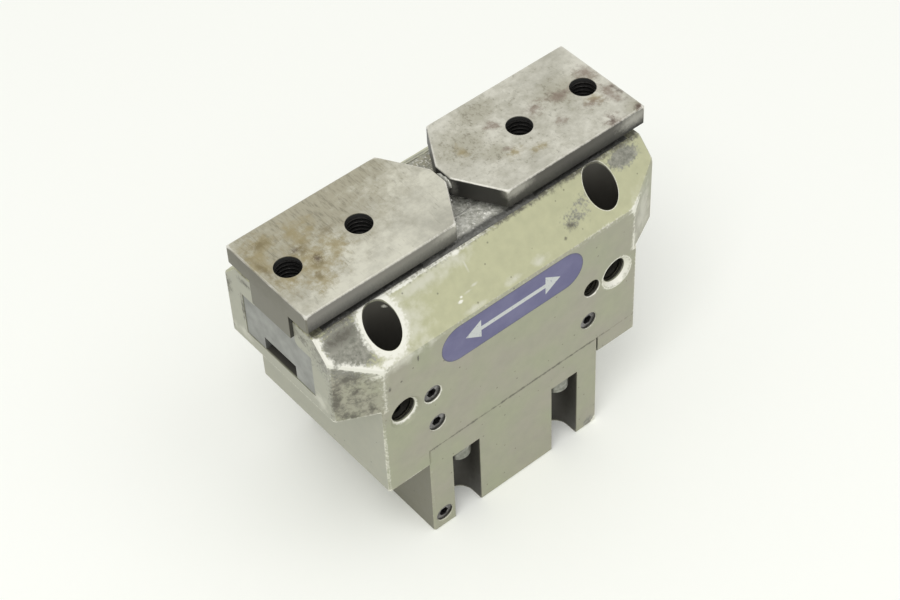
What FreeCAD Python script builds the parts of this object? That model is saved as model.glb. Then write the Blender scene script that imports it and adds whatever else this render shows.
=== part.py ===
import FreeCAD, Part
import os
import re

import Sketcher

# Parallel gripper: two jaws slide apart in a T-slot, pulled by a wedge hook on a piston that
# a coil spring pushes towards the closed position. Millimetres. The origin is the middle of
# the underside, X runs along the jaw travel, -Y is the front and Z points up to the jaw plates.

SIZES = {
    # Housing, from its skirt up to its top face
    "body_depth": 63,
    "body_length": 100,
    "body_height": 36.9,
    "head_length": 124.4,
    "head_height": 30.8,
    "head_end_width": 49,
    "head_front_length": 97,
    "top_width": 37,
    "slope_drop": 13.6,
    "edge_break": 0.5,
    # Cylinder block let into the underside of the housing
    "block_length": 68.3,
    "block_drop": 33.6,
    "block_recess": 6.9,
    "block_side_gap": 0.25,
    "block_floor": 5,
    "bore_step": 26,
    # Screws that hold the block, in pockets open to the front and the back
    "pocket_width": 10.8,
    "pocket_height": 30.6,
    "pocket_spacing": 40.4,
    "pocket_axis_depth": 4.5,
    "block_screw_diameter": 5,
    "block_screw_hole": 5.5,
    "block_screw_head_diameter": 8.5,
    "block_screw_head_height": 5,
    "block_screw_key": 4,
    "block_screw_grip": 11,
    "block_dowel_diameter": 4,
    "block_dowel_inset": 4.15,
    "block_dowel_back": 9.5,
    "block_dowel_depth": 8,
    # Slot for the jaws and the parts of a jaw that run in it
    "slot_floor_thickness": 4.5,
    "flange_width": 32.6,
    "flange_height": 16.5,
    "neck_width": 18,
    "neck_stub": 3.2,
    "slide_gap": 0.12,
    "lip_round": 2,
    "jaw_corner_round": 1.5,
    "jaw_end_setback": 0.2,
    "jaw_groove_width": 15,
    "jaw_groove_depth": 5.2,
    "jaw_groove_length": 28.5,
    # Jaw plates
    "plate_lift": 3.2,
    "plate_thickness": 7,
    "plate_width": 37.2,
    "plate_overhang": 1.55,
    "plate_shoulder": 9.8,
    "plate_tip_gap": 1.6,
    "plate_tip_width": 7,
    "plate_edge_break": 0.35,
    "finger_hole_diameter": 8.4,
    "finger_hole_depth": 10,
    "finger_hole_inset": 8.05,
    "finger_hole_spacing": 25.4,
    "jaw_screw_diameter": 5,
    "jaw_screw_hole": 5.5,
    "jaw_screw_head_diameter": 8.5,
    "jaw_screw_head_height": 5,
    "jaw_screw_key": 4,
    "jaw_screw_grip": 8,
    "jaw_screw_inset": 13.9,
    "jaw_screw_spacing": 9.6,
    "jaw_dowel_diameter": 4,
    "jaw_dowel_depth": 5,
    "jaw_dowel_inset": 3,
    # Wedge hook and its travel
    "jaw_stroke": 10,
    "piston_stroke": 14,
    "stroke_margin": 1,
    "wedge_foot_width": 12,
    "wedge_thickness": 16,
    "wedge_rise": 24.5,
    "wedge_headroom": 0.8,
    "rail_neck_width": 7,
    "rail_neck_depth": 3,
    "rail_head_width": 12,
    "rail_head_depth": 4,
    # Cylinder head, piston and rod
    "cylinder_bore": 48,
    "head_insert_diameter": 55,
    "head_web": 9,
    "piston_top_gap": 1,
    "piston_thickness": 8,
    "piston_side_gap": 0.3,
    "hub_diameter": 22,
    "hub_height": 8,
    "rod_diameter": 18,
    "running_gap": 0.03,
    "bush_diameter": 22,
    "bush_length": 5,
    "rod_seal_diameter": 25,
    "rod_seal_height": 2.8,
    "retainer_diameter": 30,
    "retainer_thickness": 1.2,
    "retainer_gap": 0.3,
    "wedge_screw_diameter": 8,
    "wedge_screw_hole": 8.4,
    "wedge_screw_head_diameter": 13,
    "wedge_screw_head_height": 8,
    "wedge_screw_key": 6,
    "wedge_screw_grip": 14,
    "screw_head_gap": 0.3,
    "hole_runout": 2,
    # Rings on the piston and round seals
    "piston_seal_root": 42,
    "piston_seal_height": 2.4,
    "guide_ring_root": 44,
    "guide_ring_height": 2.4,
    "ring_land": 1.1,
    "bumper_inner": 31,
    "bumper_outer": 39,
    "bumper_seat": 1.2,
    "bumper_stand": 0.7,
    "seal_wire": 1.8,
    "seal_groove_room": 0.3,
    "head_seal_drop": 3.5,
    "block_seal_land": 0.8,
    # Closing spring
    "spring_diameter": 34,
    "spring_wire": 3.5,
    "spring_turns": 5.5,
    "spring_room": 1.5,
    # Holes in the faces of the housing and the block
    "mount_spacing_long": 83.3,
    "mount_spacing_wide": 46.6,
    "mount_head_diameter": 11,
    "mount_hole_diameter": 6.6,
    "mount_head_floor": 40.4,
    "side_thread_diameter": 8.7,
    "side_thread_rim": 11.6,
    "side_thread_height": 31.3,
    "port_diameter": 6.2,
    "port_rim": 6.9,
    "port_depth": 11,
    "port_upper_spacing": 63,
    "port_upper_height": 31.3,
    "port_lower_spacing": 60.6,
    "port_lower_height": 17.4,
    "vent_place": 29.7,
    "vent_height": 5.8,
    "plug_length": 6,
    "plug_key": 3,
    "plug_key_depth": 3,
    "plug_depth": 0.8,
    # Label plate let in flush under the front slope
    "label_length": 55,
    "label_height": 14,
    "label_thickness": 0.3,
    "label_drop": 0.9,
    # How far a cut runs past the face that it opens
    "cut_overrun": 1,
}
COUNTERSINK_TAPER = -45
SMALLEST_CHANGE = 1e-3
SAME_PLACE = 1e-6

doc = FreeCAD.newDocument("ParallelGripper")
sheet = doc.addObject("Spreadsheet::Sheet", "Sizes")
for row, (alias, number) in enumerate(SIZES.items(), start=1):
    sheet.set(f"A{row}", alias)
    sheet.set(f"B{row}", str(number))
    sheet.setAlias(f"B{row}", alias)
doc.recompute()

# Heights above the underside, worked out from the sizes
skirt = "block_drop"
joint = f"({skirt} + block_recess)"
head_underside = f"({skirt} + body_height)"
housing_top = f"({head_underside} + head_height)"
slope_foot = f"({housing_top} - slope_drop)"
slot_floor = f"({head_underside} + slot_floor_thickness)"
jaw_bottom = f"({slot_floor} + slide_gap)"
flange_top = f"({jaw_bottom} + flange_height)"
jaw_top = f"({flange_top} + neck_stub)"
lip_underside = f"({flange_top} + slide_gap)"
plate_bottom = f"({housing_top} + plate_lift)"
plate_top = f"({plate_bottom} + plate_thickness)"
wedge_bottom = f"({slot_floor} - stroke_margin)"
wedge_top = f"({slot_floor} + wedge_rise)"
head_seat = f"({wedge_bottom} - piston_stroke - stroke_margin)"
cylinder_top = f"({head_seat} - head_web)"
piston_top = f"({cylinder_top} - piston_top_gap)"
piston_bottom = f"({piston_top} - piston_thickness)"
hub_bottom = f"({piston_bottom} - hub_height)"
wedge_screw_seat = f"({hub_bottom} + wedge_screw_head_height + screw_head_gap)"

half_depth = "body_depth / 2"
jaw_end = "(head_length / 2 - jaw_end_setback)"
plate_end = "(head_length / 2 + plate_overhang)"
pocket_axis = "(body_depth / 2 - pocket_axis_depth)"
wedge_slope = "jaw_stroke / piston_stroke"
rail_depth = "(rail_neck_depth + rail_head_depth)"


def wedge_side(height):
    """Distance of the wedge's sloping side from the middle, at a height with the jaws closed."""
    return f"(wedge_foot_width / 2 + {wedge_slope} * ({height} - {slot_floor}))"


def formula(text):
    """An expression on the sheet: each word with an underscore is a size."""
    return re.sub(r"[a-z]+(?:_[a-z]+)+", r"Sizes.\g<0>", text)


def number_of(text):
    """The present value of a formula."""
    return sheet.evalExpression(text)


def bind(thing, **formulas):
    """Tie properties of an object to sizes; a double underscore stands for a dot."""
    for name, text in formulas.items():
        thing.setExpression(name.replace("__", "."), formula(text))
    return thing


def new_body(label):
    body = doc.addObject("PartDesign::Body", label)
    body.Label = label
    return body


def sketch_on(body, plane, offset="0"):
    """A sketch on one of the body's own planes, moved along the plane's normal."""
    sketch = body.newObject("Sketcher::SketchObject", "Sketch")
    role = next(part for part in body.Origin.OriginFeatures if part.Role == plane)
    sketch.AttachmentSupport = (role, "")
    sketch.MapMode = "FlatFace"
    return bind(sketch, AttachmentOffset__Base__z=offset)


def fix_point(sketch, item, end, across, up):
    """Hold one point of a sketch at two coordinates from the sketch's origin."""
    for kind, text in (("DistanceX", across), ("DistanceY", up)):
        held = Sketcher.Constraint(kind, -1, 1, item, end, number_of(text))
        index = sketch.addConstraint(held)
        sketch.setExpression(f"Constraints[{index}]", formula(text))


def draw_outline(sketch, corners):
    """A closed straight-sided outline through corners given as pairs of formulas."""
    spots = [FreeCAD.Vector(number_of(across), number_of(up), 0) for across, up in corners]
    sides = [sketch.addGeometry(Part.LineSegment(spots[i - 1], spots[i])) for i in range(len(spots))]
    for i, side in enumerate(sides):
        following = sides[(i + 1) % len(sides)]
        sketch.addConstraint(Sketcher.Constraint("Coincident", side, 2, following, 1))
        fix_point(sketch, side, 2, *corners[i])
    return sketch


def draw_box(sketch, left, bottom, right, top):
    return draw_outline(sketch, [(left, bottom), (right, bottom), (right, top), (left, top)])


def draw_circle(sketch, across, up, diameter):
    centre = FreeCAD.Vector(number_of(across), number_of(up), 0)
    ring = Part.Circle(centre, FreeCAD.Vector(0, 0, 1), number_of(diameter) / 2)
    item = sketch.addGeometry(ring)
    fix_point(sketch, item, 3, across, up)
    index = sketch.addConstraint(Sketcher.Constraint("Diameter", item, number_of(diameter)))
    sketch.setExpression(f"Constraints[{index}]", formula(diameter))
    return sketch


def mirrored(across, up):
    """The four places that mirror one another in both middle planes."""
    return [(f"{a}({across})", f"{b}({up})") for a in ("", "-") for b in ("", "-")]


def extrude(kind, body, sketch, length, both=False, reverse=False, taper=0):
    """Add or cut the sketched outline along its normal, and make sure that the body changed."""
    before = body.Shape.Volume if body.Tip else 0
    feature = body.newObject(f"PartDesign::{kind}", kind)
    feature.Profile = sketch
    feature.SideType = "Symmetric" if both else "One side"
    feature.Reversed = reverse
    feature.TaperAngle = taper
    bind(feature, Length=length)
    doc.recompute()
    change = body.Shape.Volume - before
    if (change if kind == "Pad" else -change) < SMALLEST_CHANGE:
        raise ValueError(f"{kind} on {body.Label} changed nothing")
    return feature


def pad(body, sketch, length, **how):
    return extrude("Pad", body, sketch, length, **how)


def pocket(body, sketch, length, **how):
    return extrude("Pocket", body, sketch, length, **how)


def drill(body, plane, offset, places, diameter, depth, reverse=False, taper=0):
    """Flat-bottomed round holes of one size, drilled from a plane into the body."""
    sketch = sketch_on(body, plane, offset)
    for across, up in places:
        draw_circle(sketch, across, up, diameter)
    return pocket(body, sketch, depth, reverse=reverse, taper=taper)


def countersink(body, plane, offset, places, rim, hole, reverse=False):
    """A 45 degree rim round each hole mouth, as wide as half the difference of the diameters."""
    return drill(body, plane, offset, places, rim, f"({rim} - {hole}) / 2", reverse, taper=COUNTERSINK_TAPER)


def dress_edges(body, kind, wanted, **formulas):
    """Chamfer or fillet the body's edges for which wanted(edge) is true."""
    names = [f"Edge{i}" for i, edge in enumerate(body.Shape.Edges, start=1) if wanted(edge)]
    shape_so_far = body.Tip
    dressing = body.newObject(f"PartDesign::{kind}", kind)
    dressing.Base = (shape_so_far, names)
    bind(dressing, **formulas)
    doc.recompute()
    return dressing


def along_slot(across, height):
    """A test for edges along X at a distance to both sides of the middle and at a height."""
    def wanted(edge):
        middle = edge.CenterOfMass
        beside = abs(abs(middle.y) - number_of(across)) < SAME_PLACE
        return beside and abs(middle.z - number_of(height)) < SAME_PLACE
    return wanted


def standing_or_foot(foot):
    """A test for the upright corners of a block and the edges of its underside."""
    def wanted(edge):
        upright = abs(edge.BoundBox.ZLength - edge.Length) < SAME_PLACE
        return upright or edge.BoundBox.ZMax < number_of(foot) + SAME_PLACE
    return wanted


def turned(label, *outlines):
    """A body of revolution round Z from outlines in radius and height."""
    body = new_body(label)
    for outline in outlines:
        sketch = draw_outline(sketch_on(body, "XZ_Plane"), outline)
        turn = body.newObject("PartDesign::Revolution", "Turn")
        turn.Profile = sketch
        turn.ReferenceAxis = (sketch, ["V_Axis"])
        turn.Angle = 360
    doc.recompute()
    return body


def ring(label, inner, outer, bottom, top):
    """A turned ring of rectangular section, from two diameters and two heights."""
    inside, outside = f"({inner}) / 2", f"({outer}) / 2"
    return turned(label, [(inside, bottom), (outside, bottom), (outside, top), (inside, top)])


def hexagon_across(key):
    """Circumscribed radius of a hexagon from the size of its key."""
    return f"({key}) / sqrt(3)"


def socket_screw(name, size, across, along, seat, tip, head_up=False):
    """A socket head screw along Z whose head bears on the height seat and whose shank ends at tip."""
    head_height = f"{size}_head_height"
    low, high = (seat, f"{seat} + {head_height}") if head_up else (f"{seat} - {head_height}", seat)
    head = bind(doc.addObject("Part::Cylinder", f"{name}_head"), Height=head_height)
    bind(head, Radius=f"{size}_head_diameter / 2", Placement__Base__z=low)
    shank = bind(doc.addObject("Part::Cylinder", f"{name}_shank"), Radius=f"{size}_diameter / 2")
    bottom, top = (tip, seat) if head_up else (seat, tip)
    bind(shank, Height=f"{top} - {bottom}", Placement__Base__z=bottom)
    socket = bind(doc.addObject("Part::Prism", f"{name}_socket"), Height=f"{head_height} / 2")
    socket.Polygon = 6
    bind(socket, Circumradius=hexagon_across(f"{size}_key"))
    bind(socket, Placement__Base__z=f"{high} - {head_height} / 2" if head_up else low)
    blank = doc.addObject("Part::Fuse", f"{name}_blank")
    blank.Base, blank.Tool = head, shank
    screw = doc.addObject("Part::Cut", name)
    screw.Base, screw.Tool = blank, socket
    return bind(screw, Placement__Base__x=across, Placement__Base__y=along)


def group(label, things):
    """Several separate solids that share one node."""
    compound = doc.addObject("Part::Compound", label)
    compound.Label = label
    compound.Links = things
    return compound


def pins(label, places, diameter, bottom, top):
    made = []
    for i, (across, along) in enumerate(places):
        pin = bind(doc.addObject("Part::Cylinder", f"{label}_{i}"), Radius=f"{diameter} / 2")
        bind(pin, Height=f"{top} - {bottom}", Placement__Base__z=bottom)
        made.append(bind(pin, Placement__Base__x=across, Placement__Base__y=along))
    return group(label, made)


def set_screw(name, across, height):
    """A headless socket screw along Y, sunk in a hole of the front face."""
    face = f"-{half_depth} + plug_depth"
    blank = bind(doc.addObject("Part::Cylinder", f"{name}_blank"), Radius="port_diameter / 2")
    bind(blank, Height="plug_length")
    socket = bind(doc.addObject("Part::Prism", f"{name}_socket"), Height="plug_key_depth")
    socket.Polygon = 6
    bind(socket, Circumradius=hexagon_across("plug_key"))
    screw = doc.addObject("Part::Cut", name)
    screw.Base, screw.Tool = blank, socket
    screw.Placement.Rotation = FreeCAD.Rotation(FreeCAD.Vector(1, 0, 0), -90)
    return bind(screw, Placement__Base__x=across, Placement__Base__y=face, Placement__Base__z=height)


# Places that holes, screws and pins share
block_screw_places = mirrored("pocket_spacing / 2", pocket_axis)
block_dowel_across = "(block_length / 2 - block_dowel_inset)"
block_dowel_places = [(f"{a}{block_dowel_across}", f"{half_depth} - block_dowel_back") for a in ("", "-")]
mount_places = mirrored("mount_spacing_long / 2", "mount_spacing_wide / 2")
side_thread_level = f"({skirt} + side_thread_height)"
side_thread_places = [(f"{a}mount_spacing_long / 2", side_thread_level) for a in ("", "-")]
port_upper_level = f"({skirt} + port_upper_height)"
port_lower_level = f"({skirt} + port_lower_height)"
port_places = [(f"{a}port_upper_spacing / 2", port_upper_level) for a in ("", "-")]
port_places += [(f"{a}port_lower_spacing / 2", port_lower_level) for a in ("", "-")]
jaw_screw_outer = f"({jaw_end} - jaw_screw_inset)"
jaw_screw_places = [(f"{jaw_screw_outer} - jaw_screw_spacing", "0"), (jaw_screw_outer, "0")]
jaw_dowel_places = [(f"{jaw_end} - jaw_dowel_inset", "0")]


def draw_label(sketch):
    """The label's capsule: two straight sides joined by two half circles."""
    middle = f"({slope_foot} - label_drop - label_height / 2)"
    reach = "(label_length - label_height) / 2"
    radius = number_of("label_height / 2")
    x, z = number_of(reach), number_of(middle)
    up, down = FreeCAD.Vector(0, radius, 0), FreeCAD.Vector(0, -radius, 0)
    out = FreeCAD.Vector(radius, 0, 0)
    right, left = FreeCAD.Vector(x, z, 0), FreeCAD.Vector(-x, z, 0)
    top = sketch.addGeometry(Part.LineSegment(right + up, left + up))
    left_end = sketch.addGeometry(Part.Arc(left + up, left - out, left + down))
    bottom = sketch.addGeometry(Part.LineSegment(left + down, right + down))
    right_end = sketch.addGeometry(Part.Arc(right + down, right + out, right + up))
    for line, line_end, arc in ((top, 2, left_end), (bottom, 1, left_end), (bottom, 2, right_end),
                                (top, 1, right_end)):
        touching = 1 if (arc, line) in ((left_end, top), (right_end, bottom)) else 2
        sketch.addConstraint(Sketcher.Constraint("Tangent", line, line_end, arc, touching))
    fix_point(sketch, left_end, 3, f"-{reach}", middle)
    fix_point(sketch, right_end, 3, reach, middle)
    index = sketch.addConstraint(Sketcher.Constraint("Radius", left_end, radius))
    sketch.setExpression(f"Constraints[{index}]", formula("label_height / 2"))
    return sketch


def make_housing():
    """Aluminium housing: a lower body, a longer head with sloping shoulders, and the jaw slot."""
    body = new_body("housing")
    lower = sketch_on(body, "XY_Plane", skirt)
    draw_box(lower, "-body_length / 2", f"-{half_depth}", "body_length / 2", half_depth)
    pad(body, lower, "body_height")
    dress_edges(body, "Chamfer", standing_or_foot(skirt), Size="edge_break")

    head = sketch_on(body, "XY_Plane", head_underside)
    end, front = "head_length / 2", "head_front_length / 2"
    side = "head_end_width / 2"
    draw_outline(head, [(f"-{end}", f"-{side}"), (f"-{front}", f"-{half_depth}"), (front, f"-{half_depth}"),
                        (end, f"-{side}"), (end, side), (front, half_depth), (f"-{front}", half_depth),
                        (f"-{end}", side)])
    pad(body, head, "head_height")

    shoulders = sketch_on(body, "YZ_Plane")
    for sign in ("", "-"):
        inner, outer = f"{sign}(top_width / 2)", f"{sign}({half_depth})"
        draw_outline(shoulders, [(inner, housing_top), (outer, housing_top), (outer, slope_foot)])
    pocket(body, shoulders, "2 * head_length", both=True)

    shallow_turn = 0.85
    probe = 0.1

    def outer_corner(edge):
        """An edge of the head between two faces that turn sharply away from each other, outwards."""
        faces = body.Shape.ancestorsOfType(edge, Part.Face)
        spot = edge.valueAt((edge.FirstParameter + edge.LastParameter) / 2)
        normals = [face.normalAt(*face.Surface.parameter(spot)) for face in faces]
        inward = (normals[0] + normals[1]).multiply(-probe)
        convex = body.Shape.isInside(spot + inward, SAME_PLACE, True)
        on_head = spot.z > number_of(head_underside) + SAME_PLACE
        return on_head and convex and normals[0].dot(normals[1]) < shallow_turn

    dress_edges(body, "Chamfer", outer_corner, Size="edge_break")

    slot = sketch_on(body, "YZ_Plane")
    wide, narrow = "(flange_width / 2 + slide_gap)", "(neck_width / 2 + slide_gap)"
    open_top = f"{housing_top} + cut_overrun"
    draw_outline(slot, [(f"-{wide}", slot_floor), (wide, slot_floor), (wide, lip_underside),
                        (narrow, lip_underside), (narrow, open_top), (f"-{narrow}", open_top),
                        (f"-{narrow}", lip_underside), (f"-{wide}", lip_underside)])
    pocket(body, slot, "2 * head_length", both=True)
    dress_edges(body, "Fillet", along_slot(narrow, lip_underside), Radius="lip_round")

    recess = sketch_on(body, "XZ_Plane")
    reach = "(block_length / 2 + block_side_gap)"
    draw_box(recess, f"-{reach}", skirt, reach, joint)
    pocket(body, recess, "2 * body_depth", both=True)

    bore = draw_circle(sketch_on(body, "XY_Plane", joint), "0", "0", "head_insert_diameter")
    pocket(body, bore, f"{head_seat} - {joint}", reverse=True)
    cavity = sketch_on(body, "XY_Plane", slot_floor)
    long_reach = f"({wedge_side(wedge_top)} + {rail_depth} + stroke_margin)"
    wide_reach = "(wedge_thickness / 2 + stroke_margin)"
    draw_box(cavity, f"-{long_reach}", f"-{wide_reach}", long_reach, wide_reach)
    pocket(body, cavity, f"{slot_floor} - {head_seat}")

    drill(body, "XY_Plane", housing_top, mount_places, "mount_head_diameter",
          f"{housing_top} - {skirt} - mount_head_floor")
    drill(body, "XY_Plane", skirt, mount_places, "mount_hole_diameter", "mount_head_floor", reverse=True)
    drill(body, "XZ_Plane", half_depth, side_thread_places, "side_thread_diameter", "body_depth")
    for offset, away in ((half_depth, False), (f"-{half_depth}", True)):
        countersink(body, "XZ_Plane", offset, side_thread_places, "side_thread_rim", "side_thread_diameter",
                    away)
    drill(body, "XZ_Plane", half_depth, port_places, "port_diameter", "port_depth")
    countersink(body, "XZ_Plane", half_depth, port_places, "port_rim", "port_diameter")
    drill(body, "XY_Plane", joint, block_screw_places, "block_screw_diameter",
          "block_screw_grip + hole_runout", reverse=True)
    drill(body, "XY_Plane", joint, block_dowel_places, "block_dowel_diameter", "block_dowel_depth",
          reverse=True)
    pocket(body, draw_label(sketch_on(body, "XZ_Plane", half_depth)), "label_thickness")
    return body


def make_cylinder_block():
    """Aluminium block under the housing: piston bore, spring pocket and the four screw pockets."""
    body = new_body("cylinder_block")
    outline = sketch_on(body, "XY_Plane")
    draw_box(outline, "-block_length / 2", f"-{half_depth}", "block_length / 2", half_depth)
    pad(body, outline, joint)
    dress_edges(body, "Chamfer", standing_or_foot("0"), Size="edge_break")
    bore = draw_circle(sketch_on(body, "XY_Plane", joint), "0", "0", "cylinder_bore")
    pocket(body, bore, f"{joint} - bore_step")
    well = sketch_on(body, "XY_Plane", "bore_step")
    draw_circle(well, "0", "0", "spring_diameter + 2 * spring_room")
    pocket(body, well, "bore_step - block_floor")

    groove = sketch_on(body, "XY_Plane", joint)
    groove_inner = "cylinder_bore + 2 * block_seal_land"
    draw_circle(groove, "0", "0", groove_inner)
    draw_circle(groove, "0", "0", f"{groove_inner} + 2 * (seal_wire + seal_groove_room)")
    pocket(body, groove, "seal_wire")

    drill(body, "XY_Plane", "0", block_screw_places, "pocket_width", "pocket_height", reverse=True)
    slots = sketch_on(body, "XY_Plane")
    for sign in ("", "-"):
        for across in ("pocket_spacing / 2", "-pocket_spacing / 2"):
            draw_box(slots, f"{across} - pocket_width / 2", f"{sign}{pocket_axis}",
                     f"{across} + pocket_width / 2", f"{sign}({half_depth})")
    pocket(body, slots, "pocket_height", reverse=True)
    drill(body, "XY_Plane", joint, block_screw_places, "block_screw_hole", f"{joint} - pocket_height")
    drill(body, "XY_Plane", joint, block_dowel_places, "block_dowel_diameter", "block_dowel_depth")
    vent = [("-vent_place", "vent_height")]
    drill(body, "XZ_Plane", half_depth, vent, "port_diameter", "port_depth")
    countersink(body, "XZ_Plane", half_depth, vent, "port_rim", "port_diameter")
    return body


def place_side(thing, side):
    """The right-hand piece stays, and the left-hand one is turned half a turn round Z."""
    if side == "left":
        thing.Placement.Rotation = FreeCAD.Rotation(FreeCAD.Vector(0, 0, 1), 180)


def make_base_jaw(side):
    """Steel slide: a T-shaped bar with a sloping T-slot in its inner end for the wedge hook."""
    body = new_body(f"base_jaw_{side}")
    bar = sketch_on(body, "YZ_Plane")
    wide, narrow = "flange_width / 2", "neck_width / 2"
    draw_outline(bar, [(f"-{wide}", jaw_bottom), (wide, jaw_bottom), (wide, flange_top), (narrow, flange_top),
                       (narrow, jaw_top), (f"-{narrow}", jaw_top), (f"-{narrow}", flange_top),
                       (f"-{wide}", flange_top)])
    pad(body, bar, jaw_end)
    dress_edges(body, "Fillet", along_slot(narrow, flange_top), Radius="jaw_corner_round")

    low, high = f"({jaw_bottom} - cut_overrun)", f"({jaw_top} + cut_overrun)"

    def sloping_cut(near, far, width):
        """Cut between two lines that run parallel to the wedge's side, to both sides of the middle."""
        sketch = sketch_on(body, "XZ_Plane")
        draw_outline(sketch, [(f"{wedge_side(low)} + {near}", low), (f"{wedge_side(low)} + {far}", low),
                              (f"{wedge_side(high)} + {far}", high), (f"{wedge_side(high)} + {near}", high)])
        pocket(body, sketch, width, both=True)

    inner_end = sketch_on(body, "XZ_Plane")
    draw_outline(inner_end, [("-cut_overrun", low), (f"{wedge_side(low)} + slide_gap", low),
                             (f"{wedge_side(high)} + slide_gap", high), ("-cut_overrun", high)])
    pocket(body, inner_end, "2 * flange_width", both=True)
    sloping_cut("0", "rail_neck_depth", "rail_neck_width + 2 * slide_gap")
    sloping_cut("rail_neck_depth - slide_gap", f"{rail_depth} + slide_gap", "rail_head_width + 2 * slide_gap")

    groove = sketch_on(body, "XZ_Plane")
    draw_box(groove, f"{jaw_end} - jaw_groove_length", low, f"{jaw_end} + cut_overrun",
             f"{jaw_bottom} + jaw_groove_depth")
    pocket(body, groove, "jaw_groove_width", both=True)
    drill(body, "XY_Plane", jaw_top, jaw_screw_places, "jaw_screw_hole",
          f"{jaw_top} - {jaw_bottom} - jaw_groove_depth")
    drill(body, "XY_Plane", jaw_top, jaw_dowel_places, "jaw_dowel_diameter", "jaw_dowel_depth")
    place_side(body, side)
    return body


def make_jaw_plate(side):
    """Ground steel plate with a pointed inner end and a tongue that stands on the slide."""
    body = new_body(f"jaw_plate_{side}")
    outline = sketch_on(body, "XY_Plane", plate_bottom)
    edge, tip = "plate_width / 2", "plate_tip_width / 2"
    draw_outline(outline, [(plate_end, f"-{edge}"), (plate_end, edge), ("plate_shoulder", edge),
                           ("plate_tip_gap / 2", tip), ("plate_tip_gap / 2", f"-{tip}"),
                           ("plate_shoulder", f"-{edge}")])
    pad(body, outline, "plate_thickness")
    dress_edges(body, "Chamfer", lambda rim: True, Size="plate_edge_break")

    tongue = sketch_on(body, "XZ_Plane")
    ceiling = f"({wedge_top} + wedge_headroom)"
    clear = f"({wedge_side(wedge_top)} + {rail_depth} + stroke_margin)"
    draw_outline(tongue, [(f"{plate_end} - plate_edge_break", jaw_top),
                          (f"{plate_end} - plate_edge_break", f"{plate_bottom} + plate_thickness / 2"),
                          (f"{clear} - finger_hole_diameter", f"{plate_bottom} + plate_thickness / 2"),
                          (f"{clear} - finger_hole_diameter", ceiling), (clear, ceiling), (clear, jaw_top)])
    pad(body, tongue, "neck_width", both=True)

    outer_hole = f"({plate_end} - finger_hole_inset)"
    finger_places = [(f"{outer_hole} - finger_hole_spacing", "0"), (outer_hole, "0")]
    drill(body, "XY_Plane", plate_top, finger_places, "finger_hole_diameter", "finger_hole_depth")
    drill(body, "XY_Plane", jaw_top, jaw_screw_places, "jaw_screw_diameter", "jaw_screw_grip + hole_runout",
          reverse=True)
    drill(body, "XY_Plane", jaw_top, jaw_dowel_places, "jaw_dowel_diameter", "jaw_dowel_depth", reverse=True)
    place_side(body, side)
    return body


def make_jaw_fasteners(side):
    """Two screws from the groove under the slide, and the dowel that locates the plate."""
    seat = f"({jaw_bottom} + jaw_groove_depth)"
    tip = f"({jaw_top} + jaw_screw_grip)"
    screws = [socket_screw(f"jaw_screw_{side}_{i}", "jaw_screw", across, along, seat, tip)
              for i, (across, along) in enumerate(jaw_screw_places)]
    screw_group = group(f"jaw_screws_{side}", screws)
    dowel = pins(f"jaw_dowel_{side}", jaw_dowel_places, "jaw_dowel_diameter",
                 f"({jaw_top} - jaw_dowel_depth)", f"({jaw_top} + jaw_dowel_depth)")
    place_side(screw_group, side)
    place_side(dowel, side)
    return [screw_group, dowel]


def make_wedge_hook():
    """Steel wedge, wider at its top, with a T-rail along each sloping side."""
    body = new_body("wedge_hook")

    def slab(near, far, width):
        """One layer between two lines parallel to each sloping side, on both sides of the middle."""
        sketch = sketch_on(body, "XZ_Plane")
        for sign in ("", "-"):
            draw_outline(sketch, [(f"{sign}({near(wedge_bottom)})", wedge_bottom),
                                  (f"{sign}({far(wedge_bottom)})", wedge_bottom),
                                  (f"{sign}({far(wedge_top)})", wedge_top),
                                  (f"{sign}({near(wedge_top)})", wedge_top)])
        pad(body, sketch, width, both=True)

    core = sketch_on(body, "XZ_Plane")
    foot, crown = wedge_side(wedge_bottom), wedge_side(wedge_top)
    draw_outline(core, [(f"-{foot}", wedge_bottom), (foot, wedge_bottom), (crown, wedge_top),
                        (f"-{crown}", wedge_top)])
    pad(body, core, "wedge_thickness", both=True)
    slab(lambda z: f"{wedge_side(z)} - stroke_margin", lambda z: f"{wedge_side(z)} + {rail_depth}",
         "rail_neck_width")
    slab(lambda z: f"{wedge_side(z)} + rail_neck_depth", lambda z: f"{wedge_side(z)} + {rail_depth}",
         "rail_head_width")
    drill(body, "XY_Plane", wedge_bottom, [("0", "0")], "wedge_screw_diameter",
          "wedge_screw_grip + hole_runout", reverse=True)
    return body


def make_cylinder_head():
    """Turned aluminium cup that closes the cylinder and carries the rod's bush and seal."""
    outer, bore = "head_insert_diameter / 2", "cylinder_bore / 2"
    seal_top = f"({cylinder_top} + retainer_thickness + rod_seal_height)"
    groove_top = f"({head_seat} - head_seal_drop)"
    groove_bottom = f"({groove_top} - seal_wire - seal_groove_room)"
    groove_root = "(head_insert_diameter / 2 - seal_wire)"
    return turned("cylinder_head", [
        (bore, joint), (outer, joint), (outer, groove_bottom), (groove_root, groove_bottom),
        (groove_root, groove_top), (outer, groove_top), (outer, head_seat), ("bush_diameter / 2", head_seat),
        ("bush_diameter / 2", seal_top), ("rod_seal_diameter / 2", seal_top),
        ("rod_seal_diameter / 2", f"{cylinder_top} + retainer_thickness"),
        ("retainer_diameter / 2", f"{cylinder_top} + retainer_thickness"),
        ("retainer_diameter / 2", cylinder_top), (bore, cylinder_top)])


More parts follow.
